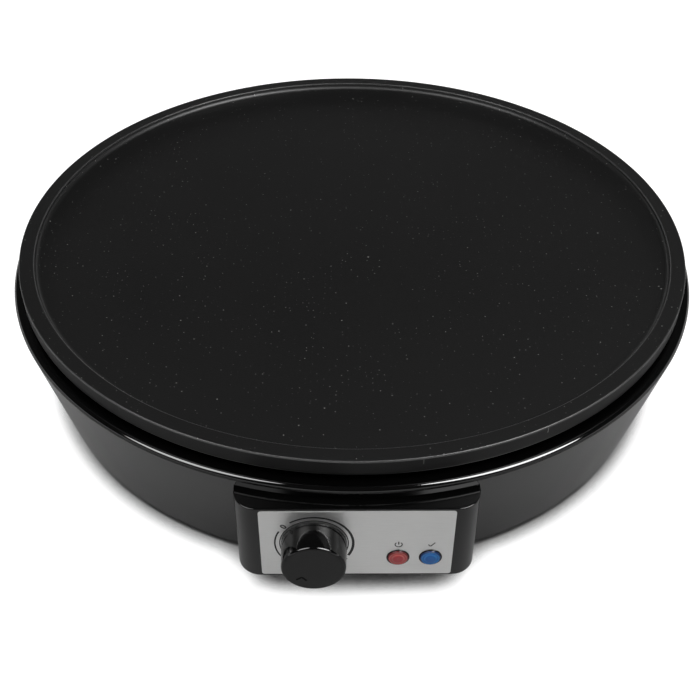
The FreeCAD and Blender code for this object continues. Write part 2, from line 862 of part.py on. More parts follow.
def lens(x):
    """Stepped lens: a low crown, a raised round button and a spigot in the bezel's bore."""
    front_y = panel_front_y - bezel_proud
    spigot_r = bezel_bore_r - thread_clear
    back_y = lens_depth + bezel_bore_r / 2
    profile = [
        (0, -lens_dome),
        (lens_button_r - lens_dome / 2, -lens_dome),
        (lens_button_r, -lens_dome / 2),
        (lens_button_r, 0),
        (lens_r - lens_dome / 2, 0),
        (lens_r, lens_dome / 2),
        (lens_r, lens_depth - thread_clear),
        (spigot_r, lens_depth - thread_clear),
        (spigot_r, back_y),
        (0, back_y),
    ]
    return moved(revolved(profile, Y_AXIS), x, front_y, lamp_z)


def neon_lamp(x):
    """Small glass lamp with a rounded nose, held in the bezel's tube behind the lens."""
    nose_y = panel_front_y - bezel_proud + lens_depth + bezel_bore_r / 2 + touch
    nose = lamp_r / 2
    profile = [(0, 0), (nose, 0), (lamp_r, nose), (lamp_r, lamp_l), (0, lamp_l)]
    return moved(revolved(profile, Y_AXIS), x, nose_y, lamp_z)


def make_thermostat():
    x0 = dial_x - thermostat_w / 2
    z0 = dial_z - thermostat_h / 2
    body = block(x0, x0 + thermostat_w, box_wall_back_y, thermostat_back_y, z0, z0 + thermostat_h)
    body = body.makeFillet(thermostat_edge_r, [e for e in body.Edges if e.BoundBox.YLength > same_place])
    body = body.fuse(rod_y(bushing_r, box_wall_back_y - bushing_l, box_wall_back_y, dial_x, dial_z))
    bore_end_y = box_wall_back_y + shaft_depth + running_clear
    cuts = [rod_y(shaft_r + running_clear, box_face_y, bore_end_y, dial_x, dial_z)]
    for x, z in thermostat_screw_places():
        cuts.append(rod_y(thermostat_screw_r + thread_clear, box_wall_back_y,
                          panel_back_y + thermostat_screw_l + cut_past, x, z))
    return body.cut(cuts).removeSplitter()


def make_thermostat_tabs():
    tabs = []
    for side in (-1, 1):
        x = dial_x + side * thermostat_w / 4
        z = dial_z - thermostat_tab_drop
        tabs.append(block(x - tab_w / 2, x + tab_w / 2, thermostat_back_y, thermostat_back_y + tab_l,
                          z - tab_t / 2, z + tab_t / 2))
    return group(tabs)


def make_thermostat_screws():
    screws = []
    for x, z in thermostat_screw_places():
        shank = rod_y(thermostat_screw_r, panel_back_y, panel_back_y + thermostat_screw_l, x, z)
        slot = block(x - thermostat_screw_head_r, x + thermostat_screw_head_r, panel_back_y,
                     panel_back_y + tab_t, z - tab_t / 2, z + tab_t / 2)
        screws.append(shank.fuse(countersink(x, z, panel_back_y)).cut(slot).removeSplitter())
    return group(screws)


# Knob and shaft, which turn together

def flatted_rod(r, y0, y1):
    """Round rod along Y with one flat, as on a dial's shaft."""
    rod = rod_y(r, y0, y1, dial_x, dial_z)
    flat_z = dial_z + r - shaft_flat
    return rod.cut(block(dial_x - r, dial_x + r, y0, y1, flat_z, dial_z + 2 * r))


def make_thermostat_shaft():
    back_y = box_wall_back_y + shaft_depth
    round_part = rod_y(shaft_r, knob_base_y + knob_gap, back_y, dial_x, dial_z)
    front_y = knob_face_y + knob_face_t + touch
    return round_part.fuse(flatted_rod(shaft_r, front_y, knob_base_y + knob_gap)).removeSplitter()


def knob_shell():
    """Tapered cap with a rounded front edge, hollow towards the panel."""
    taper = knob_base_r - knob_face_r
    edge = quarter(knob_face_r - knob_edge_r, knob_edge_r, knob_edge_r, -45, 0)
    profile = [
        (0, 0),
        (knob_face_r - knob_edge_r, 0),
        edge,
        (knob_base_r, knob_l),
        (knob_base_r - knob_wall, knob_l),
        (knob_base_r - knob_wall - taper, knob_face_t),
        (0, knob_face_t),
    ]
    return moved(revolved(profile, Y_AXIS), dial_x, knob_face_y, dial_z)


def pointer_groove():
    """Chevron of two short strokes near the rim, pointing outwards."""
    strokes = []
    for side in (-1, 1):
        stroke = block(-pointer_line_w / 2, pointer_size, knob_face_y - cut_past, knob_face_y + pointer_depth,
                       -pointer_line_w / 2, pointer_line_w / 2)
        stroke = turned(stroke, 180 + side * pointer_half_angle, Y_AXIS)
        strokes.append(moved(stroke, pointer_pitch_r + pointer_size / 2))
    chevron = strokes[0].fuse(strokes[1])
    return moved(turned(chevron, -pointer_angle, Y_AXIS), dial_x, 0, dial_z)


def make_knob():
    knob = knob_shell()
    back_y = knob_base_y
    hub = rod_y(knob_hub_r, knob_face_y + knob_face_t / 2, back_y, dial_x, dial_z)
    ribs = []
    for angle in ring_angles(knob_rib_count, knob_rib_first_angle):
        rib = block(dial_x + knob_hub_r / 2, dial_x + knob_face_r - knob_wall / 2,
                    knob_face_y + knob_face_t / 2, back_y - knob_clip_w - 2 * knob_clip_t,
                    dial_z - knob_rib_t / 2, dial_z + knob_rib_t / 2)
        ribs.append(turned(rib, angle, Y_AXIS, Vector(dial_x, 0, dial_z)))
    bore = flatted_rod(shaft_r + thread_clear, knob_face_y + knob_face_t, back_y)
    return knob.fuse([hub] + ribs).cut([bore, pointer_groove()]).removeSplitter()


def make_knob_clip():
    """Spring ring round the knob's hub, open on one side."""
    y1 = knob_base_y - knob_clip_t
    y0 = y1 - knob_clip_w
    outer = rod_y(knob_hub_r + thread_clear + knob_clip_t, y0, y1, dial_x, dial_z)
    ring = outer.cut(rod_y(knob_hub_r + thread_clear, y0, y1, dial_x, dial_z))
    mouth = block(dial_x - knob_clip_mouth / 2, dial_x + knob_clip_mouth / 2, y0, y1,
                  dial_z - 2 * knob_hub_r, dial_z)
    return ring.cut(mouth)


# Bottom cover, feet and the cord's inlet

def vent_slots():
    """Rings of radial slots, each with round ends."""
    slots = []
    for ring_r, count in zip(vent_ring_rs, vent_counts):
        half = (vent_l - vent_w) / 2
        slot = block(ring_r - half, ring_r + half, -vent_w / 2, vent_w / 2, cover_under_z, cover_top_z)
        ends = [rod_z(vent_w / 2, cover_under_z, cover_top_z, ring_r + side * half, 0) for side in (-1, 1)]
        slot = slot.fuse(ends).removeSplitter()
        slots += [turned(slot, angle) for angle in ring_angles(count, 180.0 / count)]
    return slots


def foot_places():
    return [polar(foot_pitch_r, angle) for angle in ring_angles(foot_count, foot_first_angle)]


def make_bottom_cover():
    cover = rod_z(skirt_r(cover_under_z) - wall - cover_clear, cover_under_z, cover_top_z)
    holes = [rod_z(foot_stem_r + touch, cover_under_z, cover_top_z, at.x, at.y) for at in foot_places()]
    holes += [rod_z(plate_screw_r + screw_clear, cover_under_z, cover_top_z, at.x, at.y)
              for at in post_places()]
    holes += [rod_z(cover_screw_r + screw_clear, cover_under_z, cover_top_z, at.x, at.y)
              for at in cover_boss_places()]
    holes.append(rod_z(terminal_screw_r + screw_clear, cover_under_z, cover_top_z,
                       terminal_pitch / 2, terminal_block_y))
    return cover.cut(holes + vent_slots())


def make_cover_screws():
    return group([screw_up(at.x, at.y, cover_under_z, cover_screw_r, cover_t + cover_screw_bite,
                           cover_screw_head_r, cover_screw_head_h) for at in cover_boss_places()])


def foot(at):
    """Push-in foot: a flared sole, a stem through the cover and a barb above it."""
    profile = [
        (0, 0),
        (foot_sole_r, 0),
        (foot_r, foot_r - foot_sole_r),
        (foot_r, cover_under_z - touch),
        (foot_stem_r, cover_under_z - touch),
        (foot_stem_r, cover_top_z + touch),
        (foot_barb_r, cover_top_z + touch),
        (foot_stem_r, cover_top_z + foot_barb_h),
        (0, cover_top_z + foot_barb_h),
    ]
    return moved(revolved(profile, Z_AXIS), at.x, at.y)


def make_cord_gland():
    """Grommet in the recessed seat: outer flange, waist through the wall, inner lip."""
    lip_y = inlet_back_y - gland_lip_t
    end_y = inlet_floor_y + gland_flange_t
    profile = [
        (inlet_bore_r, lip_y),
        (gland_lip_r - gland_lip_t / 2, lip_y),
        (gland_lip_r, inlet_back_y - gland_lip_t / 2),
        (gland_lip_r, inlet_back_y),
        (gland_waist_r, inlet_back_y),
        (gland_waist_r, inlet_floor_y),
        (gland_flange_r, inlet_floor_y),
        (gland_flange_r, end_y - gland_edge),
        (gland_flange_r - gland_edge, end_y),
        (inlet_bore_r, end_y),
    ]
    return moved(revolved(profile, Y_AXIS), 0, 0, inlet_z)


def make_terminal_block():
    y0 = terminal_block_y - terminal_block_d / 2
    body = block(-terminal_block_w / 2, terminal_block_w / 2, y0, y0 + terminal_block_d,
                 cover_top_z, cover_top_z + terminal_block_h)
    z = cover_top_z + terminal_block_h / 2
    holes = [rod_y(ferrule_r + thread_clear, y0, y0 + terminal_block_d, i * terminal_pitch, z)
             for i in (-1, 0, 1)]
    holes.append(rod_z(terminal_screw_r + thread_clear, cover_top_z, cover_top_z + terminal_block_h,
                       terminal_pitch / 2, terminal_block_y))
    top_z = cover_top_z + terminal_block_h
    for i in (-1, 1):
        notch_x = i * terminal_pitch / 2
        holes.append(block(notch_x - tab_t, notch_x + tab_t, y0, y0 + terminal_block_d,
                           top_z - terminal_notch_h, top_z))
    return body.cut(holes)


def make_terminal_ferrules():
    y0 = terminal_block_y - terminal_block_d / 2 + ferrule_inset
    y1 = terminal_block_y + terminal_block_d / 2 - ferrule_inset
    z = cover_top_z + terminal_block_h / 2
    tubes = []
    for i in (-1, 0, 1):
        tube = rod_y(ferrule_r, y0, y1, i * terminal_pitch, z)
        tubes.append(tube.cut(rod_y(ferrule_r / 2, y0, y1, i * terminal_pitch, z)))
    return group(tubes)


def make_terminal_screw():
    return screw_up(terminal_pitch / 2, terminal_block_y, cover_under_z, terminal_screw_r,
                    cover_t + terminal_block_h / 2, terminal_screw_head_r, terminal_screw_head_h)


def all_nodes():
    nodes = {
        "cooking_plate": make_cooking_plate(),
        "heating_element": make_heating_element(),
        "element_seals": make_element_seals(),
        "element_tabs": make_element_tabs(),
        "element_clamps": make_element_clamps(),
        "strap_screws": make_strap_screws(),
        "sensor_and_capillary": make_sensor(),
        "sensor_clip": make_sensor_clip(),
        "thermal_fuse": make_thermal_fuse(),
        "fuse_clip": make_fuse_clip(),
        "heat_shield": make_heat_shield(),
        "lower_spacers": make_lower_spacers(),
        "upper_spacers": make_upper_spacers(),
        "plate_screws": make_plate_screws(),
        "earth_tag": make_earth_tag(),
        "earth_screw": make_earth_screw(),
        "housing": make_housing(),
        "control_box": make_control_box(),
        "box_screws": make_box_screws(),
        "control_panel": make_control_panel(),
        "thermostat": make_thermostat(),
        "thermostat_tabs": make_thermostat_tabs(),
        "thermostat_screws": make_thermostat_screws(),
        "thermostat_shaft": make_thermostat_shaft(),
        "knob": make_knob(),
        "knob_clip": make_knob_clip(),
        "terminal_block": make_terminal_block(),
        "terminal_ferrules": make_terminal_ferrules(),
        "terminal_screw": make_terminal_screw(),
        "cord_gland": make_cord_gland(),
        "bottom_cover": make_bottom_cover(),
        "cover_screws": make_cover_screws(),
    }
    for name, x in lamp_x.items():
        nodes[name + "_bezel"] = bezel(x)
        nodes[name + "_lens"] = lens(x)
        nodes[name + "_lamp"] = neon_lamp(x)
    for name, at in zip(("rear_right", "rear_left", "front_left", "front_right"), foot_places()):
        nodes["foot_" + name] = foot(at)
    return nodes


os.makedirs("parts", exist_ok=True)
for node_name, shape in all_nodes().items():
    shape.exportStep("parts/" + node_name + ".step")
    print(node_name, len(shape.Solids), shape.isValid(), round(shape.Volume))
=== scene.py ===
import math

import bmesh
import bpy
import numpy as np
from mathutils import Matrix, Vector


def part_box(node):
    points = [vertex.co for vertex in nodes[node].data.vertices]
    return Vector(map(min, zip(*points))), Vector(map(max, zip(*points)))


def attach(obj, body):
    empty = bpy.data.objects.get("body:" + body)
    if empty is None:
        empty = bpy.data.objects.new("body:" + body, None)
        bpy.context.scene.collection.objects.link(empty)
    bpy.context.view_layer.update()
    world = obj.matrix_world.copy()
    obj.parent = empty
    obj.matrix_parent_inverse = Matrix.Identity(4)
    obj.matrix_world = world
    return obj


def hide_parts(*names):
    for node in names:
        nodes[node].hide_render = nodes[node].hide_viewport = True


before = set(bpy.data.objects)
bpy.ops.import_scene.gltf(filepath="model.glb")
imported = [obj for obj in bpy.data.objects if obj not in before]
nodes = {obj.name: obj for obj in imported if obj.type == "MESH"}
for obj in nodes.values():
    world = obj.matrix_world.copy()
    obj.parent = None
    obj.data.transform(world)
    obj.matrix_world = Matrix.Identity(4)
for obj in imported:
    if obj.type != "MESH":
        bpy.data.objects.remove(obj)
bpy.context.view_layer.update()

scene = bpy.context.scene

# Camera: it looks down at 40.6 degrees from 0.48 m with a slight roll, and the object in the
# photograph stands turned by just under a degree, so the camera goes round it by as much.
photo_width_px = 700
focal_px = 1036.0
pitch = math.radians(40.59)
roll = math.radians(0.56)
object_yaw = math.radians(0.95)
aim_back, aim_right, aim_up = 0.4793, 0.00061, 0.05815
plate_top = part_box("cooking_plate")[1][2]

forward = Vector((0, math.cos(pitch), -math.sin(pitch)))
upward = Vector((0, math.sin(pitch), math.cos(pitch)))
rightward = Vector((1, 0, 0))
place = Vector((0, 0, plate_top)) - aim_back * forward - aim_right * rightward - aim_up * upward
rolled_right = math.cos(roll) * rightward + math.sin(roll) * upward
rolled_up = math.cos(roll) * upward - math.sin(roll) * rightward
turn = Matrix.Rotation(-object_yaw, 3, "Z")
axes = Matrix([turn @ rolled_right, turn @ rolled_up, turn @ -forward]).transposed()
camera = bpy.data.objects.new("camera", bpy.data.cameras.new("camera"))
camera.data.sensor_width = 36.0
camera.data.lens = camera.data.sensor_width * focal_px / photo_width_px
camera.data.clip_start = 0.02
camera.data.clip_end = 50.0
camera.matrix_world = Matrix.Translation(turn @ place) @ axes.to_4x4()
scene.collection.objects.link(camera)
scene.camera = camera


# Table: white matt paper that the object stands on. It is bright where the camera looks, and
# under the object it shows a soft contact shadow, partly real and partly painted shadow.
def linear(hex_colour):
    """sRGB hex to linear RGBA by the sRGB transfer curve."""
    srgb = np.array([int(hex_colour[i:i + 2], 16) for i in (1, 3, 5)]) / 255
    straight = srgb / 12.92
    curved = ((srgb + 0.055) / 1.055) ** 2.4
    return (*np.where(srgb <= 0.04045, straight, curved), 1.0)


def new_material(name):
    """Node material that is still empty."""
    material = bpy.data.materials.new(name)
    material.use_nodes = True
    material.node_tree.nodes.clear()
    return material


def add_node(owner, kind, links={}, **settings):
    """Add one shader node. Links go from an input's name or index to an output or a plain value."""
    node = owner.node_tree.nodes.new(kind)
    for name, value in settings.items():
        setattr(node, name, value)
    for name, value in links.items():
        if isinstance(value, bpy.types.NodeSocket):
            owner.node_tree.links.new(value, node.inputs[name])
        else:
            node.inputs[name].default_value = value
    return node


def finish_material(material, surface):
    """The shader becomes the material's surface."""
    add_node(material, "ShaderNodeOutputMaterial", {"Surface": surface.outputs[0]})
    return material


def grid_mesh(name, points, closed_rows=False, closed_columns=False, caps=False):
    """Smooth mesh over a grid of points, rows first. Caps close a ring's first and last column."""
    rows, columns = points.shape[:2]
    row = np.arange(rows if closed_rows else rows - 1)[:, None]
    column = np.arange(columns if closed_columns else columns - 1)
    next_row = (row + 1) % rows
    next_column = (column + 1) % columns
    corners = [row * columns + column, next_row * columns + column,
               next_row * columns + next_column, row * columns + next_column]
    faces = np.stack([corner.ravel() for corner in corners], 1).tolist()
    if caps:
        ring = np.arange(rows) * columns
        faces.append(ring[::-1].tolist())
        faces.append((ring + columns - 1).tolist())
    mesh = bpy.data.meshes.new(name)
    mesh.from_pydata(points.reshape(-1, 3), [], faces)
    shape = bmesh.new()
    shape.from_mesh(mesh)
    bmesh.ops.remove_doubles(shape, verts=shape.verts, dist=1e-7)
    bmesh.ops.dissolve_degenerate(shape, edges=shape.edges, dist=1e-7)
    shape.to_mesh(mesh)
    shape.free()
    mesh.shade_smooth()
    return mesh


def dress(material, *names):
    """Give CAD nodes their material."""
    for name in names:
        nodes[name].data.materials.clear()
        nodes[name].data.materials.append(material)


def add_piece(name, mesh, material, body=None, replaced=()):
    """Put a mesh into the scene with its material, its body and the nodes it replaces."""
    piece = bpy.data.objects.new(name, mesh)
    scene.collection.objects.link(piece)
    mesh.materials.append(material)
    if body:
        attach(piece, body)
    if replaced:
        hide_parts(*replaced)
        dress(material, *replaced)
    return piece


def table_material():
    """Matt paper: light grey to the object, whose gloss mirrors it, and white to the camera.

    The glow that whitens it for the camera fades where the object hides the sky within 20 mm, so it
    paints a contact shadow on top of the real one: it is gone where 43 % of the sky is open and whole
    again at 63 %. Under the glow the camera sees a darker grey than the object does, which deepens
    the shade.
    """
    material = new_material("matt_paper")
    path = add_node(material, "ShaderNodeLightPath")
    open_sky = add_node(material, "ShaderNodeAmbientOcclusion", {"Distance": 0.02}).outputs["AO"]
    # The glow's strength falls to 0 where the object hides the sky, which paints the contact shadow.
    reach = add_node(material, "ShaderNodeMath", {0: open_sky, 1: 5.0, 2: -2.15},
                     operation="MULTIPLY_ADD", use_clamp=True).outputs[0]
    grey = add_node(material, "ShaderNodeBsdfDiffuse", {"Color": linear("#ACACAC")})
    shaded = add_node(material, "ShaderNodeBsdfDiffuse", {"Color": linear("#8A8A8A")})
    glow = add_node(material, "ShaderNodeEmission", {"Color": linear("#FFFFFF"), "Strength": reach})
    lifted = add_node(material, "ShaderNodeAddShader", {0: shaded.outputs[0], 1: glow.outputs[0]})
    return finish_material(material, add_node(material, "ShaderNodeMixShader", {
        "Fac": path.outputs["Is Camera Ray"], 1: grey.outputs[0], 2: lifted.outputs[0]}))


table_half = 12.0
table_edge = np.array([-table_half, table_half])
table_points = np.stack(np.meshgrid(table_edge, table_edge, [0.0], indexing="ij"), -1)[:, :, 0]
add_piece("table", grid_mesh("table", table_points), table_material())

# Studio: a dim room with a pale band near the horizon, one large overhead soft box for the even
# light, and a long narrow card on either side that the glossy edges mirror as bright streaks.
world = bpy.data.worlds.new("studio_room")
scene.world = world
world.use_nodes = True
world.node_tree.nodes.clear()
room_direction = add_node(world, "ShaderNodeTexCoord")
room_height = add_node(world, "ShaderNodeSeparateXYZ", {"Vector": room_direction.outputs["Generated"]})
room_ramp = add_node(world, "ShaderNodeValToRGB", {"Fac": room_height.outputs["Z"]})
room_ramp.color_ramp.elements[0].position = 0.06
room_ramp.color_ramp.elements[0].color = linear("#FFFFFF")
room_ramp.color_ramp.elements[1].position = 0.20
room_ramp.color_ramp.elements[1].color = linear("#2A2A2A")
room = add_node(world, "ShaderNodeBackground", {"Color": room_ramp.outputs["Color"], "Strength": 2.0})
add_node(world, "ShaderNodeOutputWorld", {"Surface": room.outputs[0]})
lamps_aim_at = Vector((0, 0, 0.05))


def soft_box(name, toward, distance, size, radiance, on_gloss, on_matt):
    """Elliptical lamp that faces the object from a direction. Its power is radiance * pi * area."""
    lamp = bpy.data.lights.new(name, "AREA")
    lamp.shape = "ELLIPSE"
    lamp.size, lamp.size_y = size
    lamp.energy = radiance * math.pi * (math.pi / 4) * size[0] * size[1]
    holder = bpy.data.objects.new(name, lamp)
    direction = Vector(toward).normalized()
    holder.rotation_mode = "QUATERNION"
    holder.location = lamps_aim_at + direction * distance
    holder.rotation_quaternion = direction.to_track_quat("Z", "Y")
    holder.visible_glossy = on_gloss
    holder.visible_diffuse = on_matt
    scene.collection.objects.link(holder)


soft_box("overhead_box", (0.0, -0.25, 0.97), 1.6, (1.8, 1.4), 5.2, False, True)
soft_box("right_card", (0.52, -0.27, 0.81), 1.6, (0.86, 1.2), 26.0, True, False)
soft_box("left_card", (-0.52, -0.27, 0.81), 1.6, (0.86, 1.2), 12.0, True, False)


# Housing: one injection moulding in polished black plastic, a tapered skirt with a thin rounded
# flange on top and an inner lip under the plate. A round seat in the back takes the cord's grommet.
def rounded_profile(corners, radii, closed=True, arc_points=7, support=0.0003):
    """Outline through corners, each turned into an arc of its radius.

    An arc starts and ends at radius / tan(half the corner's angle) from the corner. Its points are
    the start and end, seen from its centre and weighted by the sines of the angles left and gone.
    One more point a little way along each straight run keeps that run's shading flat: it lies at
    the support distance, or at an eighth of a run that is short. An open outline keeps its ends.
    """
    corners = np.array(corners, float)
    radii = np.array(radii, float)[:, None]
    before = np.roll(corners, 1, 0) - corners
    after = np.roll(corners, -1, 0) - corners
    run = np.minimum(np.linalg.norm(before, axis=1), np.linalg.norm(after, axis=1))
    reach = support * np.minimum(1.0, run / (8 * support))[:, None]
    before /= np.linalg.norm(before, axis=1, keepdims=True)
    after /= np.linalg.norm(after, axis=1, keepdims=True)
    half = np.arccos(np.clip((before * after).sum(1), -1, 1))[:, None] / 2
    set_back = radii / np.tan(half)
    middle = before + after
    middle /= np.linalg.norm(middle, axis=1, keepdims=True)
    centre = corners + middle * radii / np.sin(half)
    start = corners + before * set_back
    end = corners + after * set_back
    swing = math.pi - 2 * half
    t = np.linspace(0, 1, arc_points)
    weight_start = np.sin((1 - t) * swing) / np.sin(swing)
    weight_end = np.sin(t * swing) / np.sin(swing)
    arcs = (centre[:, None] + weight_start[:, :, None] * (start - centre)[:, None]
            + weight_end[:, :, None] * (end - centre)[:, None])
    first_points = (start + before * reach)[:, None]
    last_points = (end + after * reach)[:, None]
    runs = np.concatenate([first_points, arcs, last_points], 1)
    if closed:
        return runs.reshape(-1, 2)
    return np.concatenate([corners[:1], runs[1:-1].reshape(-1, 2), corners[-1:]])


def revolved_z(profile, segments, first=0.0, last=2 * math.pi):
    """Grid of a profile (radius, z) turned about the vertical axis, whole or over a span of angles."""
    whole = math.isclose(last - first, 2 * math.pi)
    angle = np.linspace(first, last, segments, endpoint=not whole)[:, None]
    r, z = profile[:, 0], profile[:, 1]
    return np.stack([r * np.cos(angle), r * np.sin(angle), z + 0 * angle], -1)


round_segments = 640
skirt_bottom_r, skirt_bottom_z = 0.1423, 0.004
flange_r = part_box("housing")[1][0]
flange_z = 0.0575
flange_edge_r = 0.0021
shell_wall = 0.0025
fine_edge_r = 0.0004
lip_r, lip_w, lip_z = 0.1436, 0.002, 0.0595
seat_r = 0.0105
seat_edge_r = 0.0003
seat_floor_inner_r = 0.006
seat_floor_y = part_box("cord_gland")[1][1] - 0.0025
seat_z = 0.022
window_span = math.radians(7.5)
window_low_z, window_high_z = 0.0085, 0.0355
window_columns = 31
inner_wall_left = 0.004
seat_points = 241
seat_rings = 13


def skirt_radius(z):
    """Outer radius of the skirt, a straight cone from its foot to the flange's edge."""
    share = (z - skirt_bottom_z) / (flange_z - flange_edge_r - skirt_bottom_z)
    return skirt_bottom_r + share * (flange_r - skirt_bottom_r)


def housing_corners():
    """Section of the shell, counterclockwise: radius and height of each corner, and its arc."""
    under_z = flange_z - shell_wall
    fold_r = flange_r - shell_wall
    return np.array([
        (skirt_bottom_r - shell_wall, skirt_bottom_z, fine_edge_r),
        (skirt_bottom_r, skirt_bottom_z, fine_edge_r),
        (flange_r, flange_z - flange_edge_r, 0.0006),
        (flange_r, flange_z, flange_edge_r * 0.85),
        (lip_r + lip_w, flange_z, 0.0005),
        (lip_r + lip_w, lip_z, fine_edge_r),
        (lip_r, lip_z, fine_edge_r),
        (lip_r, under_z, fine_edge_r),
        (fold_r, under_z, 0.002),
    ])


def housing_meshes():
    """The revolved shell with a window left open at the back, and the four meshes that fill it.

    Two strips of the same section close the window below and above the seat. A patch spreads from
    the seat's circle to the window's frame along straight lines in (x, z), and each of its points
    lies on the skirt at y = square root of (skirt radius squared - x squared). A well goes in from
    the circle to the seat's flat floor.
    """
    corners = housing_corners()
    back = math.pi / 2
    window = (back - window_span, back + window_span)
    section = rounded_profile(corners[:, :2], corners[:, 2])
    whole = revolved_z(section, round_segments, window[1], window[0] + 2 * math.pi)
    shell = grid_mesh("housing_shell", whole, closed_columns=True)

    inner_r = skirt_bottom_r - shell_wall
    low = rounded_profile(
        [(inner_r, skirt_bottom_z + inner_wall_left), (inner_r, skirt_bottom_z),
         (skirt_bottom_r, skirt_bottom_z), (skirt_radius(window_low_z), window_low_z)],
        [0, fine_edge_r, fine_edge_r, 0], closed=False)
    points_per_corner = 7 + 2
    over_flange = rounded_profile(corners[1:, :2], corners[1:, 2])[points_per_corner:]
    high = np.concatenate([[[skirt_radius(window_high_z), window_high_z]], over_flange])

    turn_at = np.linspace(0, 2 * math.pi, seat_points)
    across, height = np.cos(turn_at), np.sin(turn_at)
    to_square = 1 / np.maximum(abs(across), abs(height))
    middle_z = (window_low_z + window_high_z) / 2
    frame_angle = across * to_square * window_span
    frame_z = middle_z + height * to_square * (window_high_z - window_low_z) / 2
    window_frame = np.stack([skirt_radius(frame_z) * np.sin(frame_angle), frame_z], 1)
    circle = np.stack([seat_r * across, seat_z + seat_r * height], 1)
    spread = np.linspace(0, 1, seat_rings)[:, None, None]
    field = circle + (window_frame - circle) * spread
    field_y = np.sqrt(skirt_radius(field[..., 1]) ** 2 - field[..., 0] ** 2)
    patch = np.stack([field[..., 0], field_y, field[..., 1]], -1)

    well_r = np.array([seat_r, seat_r, seat_r, seat_r - seat_edge_r, seat_floor_inner_r])[:, None]
    well_depth = np.array([0.0, 0.1, 0.95, 1.0, 1.0])[:, None]
    well_y = field_y[0] + (seat_floor_y - field_y[0]) * well_depth
    well = np.stack([well_r * across, well_y, seat_z + well_r * height], -1)
    fillings = {"low_strip": revolved_z(low, window_columns, *window),
                "high_strip": revolved_z(high, window_columns, *window),
                "patch": patch[::-1], "well": well[::-1]}
    return [shell] + [grid_mesh(name, points) for name, points in fillings.items()]


def joined(meshes):
    """The first mesh with the others added, welded where their edges meet."""
    shape = bmesh.new()
    for mesh in meshes:
        shape.from_mesh(mesh)
    bmesh.ops.remove_doubles(shape, verts=shape.verts, dist=2e-6)
    shape.to_mesh(meshes[0])
    shape.free()
    for mesh in meshes[1:]:
        bpy.data.meshes.remove(mesh)
    meshes[0].shade_smooth()
    return meshes[0]


def polished_black(name, satin_above=None):
    """Injection-moulded black ABS: a mirror-like skin with a very faint flow unevenness, which bends
    the reflected streaks slightly. Above a given height the mould leaves a fine satin grain, which
    is 0.06 rougher and has half the specular level, so that face stays darker."""
    material = new_material(name)
    at = add_node(material, "ShaderNodeTexCoord").outputs["Object"]
    flow = add_node(material, "ShaderNodeTexNoise", {"Vector": at, "Scale": 60.0, "Detail": 2.0})
    haze = add_node(material, "ShaderNodeMath", {0: flow.outputs["Fac"], 1: 0.03, 2: 0.035},
                    operation="MULTIPLY_ADD").outputs[0]
    shine = 0.5
    if satin_above is not None:
        height = add_node(material, "ShaderNodeSeparateXYZ", {"Vector": at}).outputs["Z"]
        satin = add_node(material, "ShaderNodeMath", {0: height, 1: satin_above},
                         operation="GREATER_THAN").outputs[0]
        haze = add_node(material, "ShaderNodeMath", {0: satin, 1: 0.06, 2: haze},
                        operation="MULTIPLY_ADD").outputs[0]
        shine = add_node(material, "ShaderNodeMath", {0: satin, 1: -0.25, 2: 0.5},
                         operation="MULTIPLY_ADD").outputs[0]
    wave = add_node(material, "ShaderNodeBump", {
        "Height": flow.outputs["Fac"], "Strength": 0.02, "Distance": 0.001})
    return finish_material(material, add_node(material, "ShaderNodeBsdfPrincipled", {
        "Base Color": linear("#040404"), "Roughness": haze, "IOR": 1.5, "Specular IOR Level": shine,
        "Normal": wave.outputs[0]}))


gloss_black = polished_black("polished_black_moulding")
add_piece("housing_shell", joined(housing_meshes()), gloss_black, "cooker", ["housing"])

# Control box: a moulded box in the same black plastic, screwed to the skirt from inside, with two
# rounded upright corners and fine rounded top and bottom edges.
box_low, box_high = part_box("control_box")
box_half_w = box_high[0]
box_front = box_low[1]
box_back = -0.126
box_corner_r, box_back_corner_r = 0.009, 0.001
box_bottom = box_low[2]
box_top = box_high[2] - 0.0005
box_top_edge, box_bottom_edge = 0.0004, 0.0008
box_cap_inset = 0.004


def box_outline(inset, z):
    """Rounded outline in plan at one height, drawn in at the sides and the front."""
    half_w = box_half_w - inset
    front = box_front + inset
    corner_r = box_corner_r - inset
    outline = rounded_profile(
        [(-half_w, box_back), (-half_w, front), (half_w, front), (half_w, box_back)],
        [box_back_corner_r, corner_r, corner_r, box_back_corner_r], arc_points=17)
    return np.concatenate([outline, np.full((len(outline), 1), z)], 1)


def control_box_mesh():
    """Outlines stacked along the rounded bottom and top edges, and closed by two flat caps."""
    side = rounded_profile([(box_cap_inset, box_bottom), (0.0, box_bottom), (0.0, box_top),
                            (box_cap_inset, box_top)], [0, box_bottom_edge, box_top_edge, 0], closed=False)
    rings = [box_outline(inset, z) for inset, z in side]
    return grid_mesh("control_box_shell", np.stack(rings, 1), closed_rows=True, caps=True)


box_black = polished_black("black_moulding_satin_top", box_top - 0.0001)
add_piece("control_box_shell", control_box_mesh(), box_black, "cooker", ["control_box"])


# Cooking plate: cast aluminium with a sprayed non-stick coat. The coat is dark and fine-grained
# with sparse pale flecks, and thin and smoother at the rim's sharp edges, where a paler shade is a
# painted highlight.
plate_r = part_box("cooking_plate")[1][0]
rim_w = 0.0066
rim_edge_r = 0.0005
dish_depth = 0.003
floor_t = 0.0045
under_z = plate_top - dish_depth - floor_t
foot_r, foot_z = plate_r - 0.009, under_z - 0.0045


def plate_mesh():
    """Section from the floor's middle over the rim and back under it to the axis."""
    dish_r = plate_r - rim_w
    corners = [(0, plate_top - dish_depth), (dish_r, plate_top - dish_depth), (dish_r, plate_top),
               (plate_r, plate_top), (plate_r, under_z), (foot_r, under_z), (foot_r, foot_z), (0, foot_z)]
    radii = [0, 0.0024, rim_edge_r, rim_edge_r, 0.0012, 0.0005, 0.0005, 0]
    profile = rounded_profile(corners, radii, closed=False)[::-1]
    return grid_mesh("plate_shell", revolved_z(profile, round_segments), closed_rows=True)


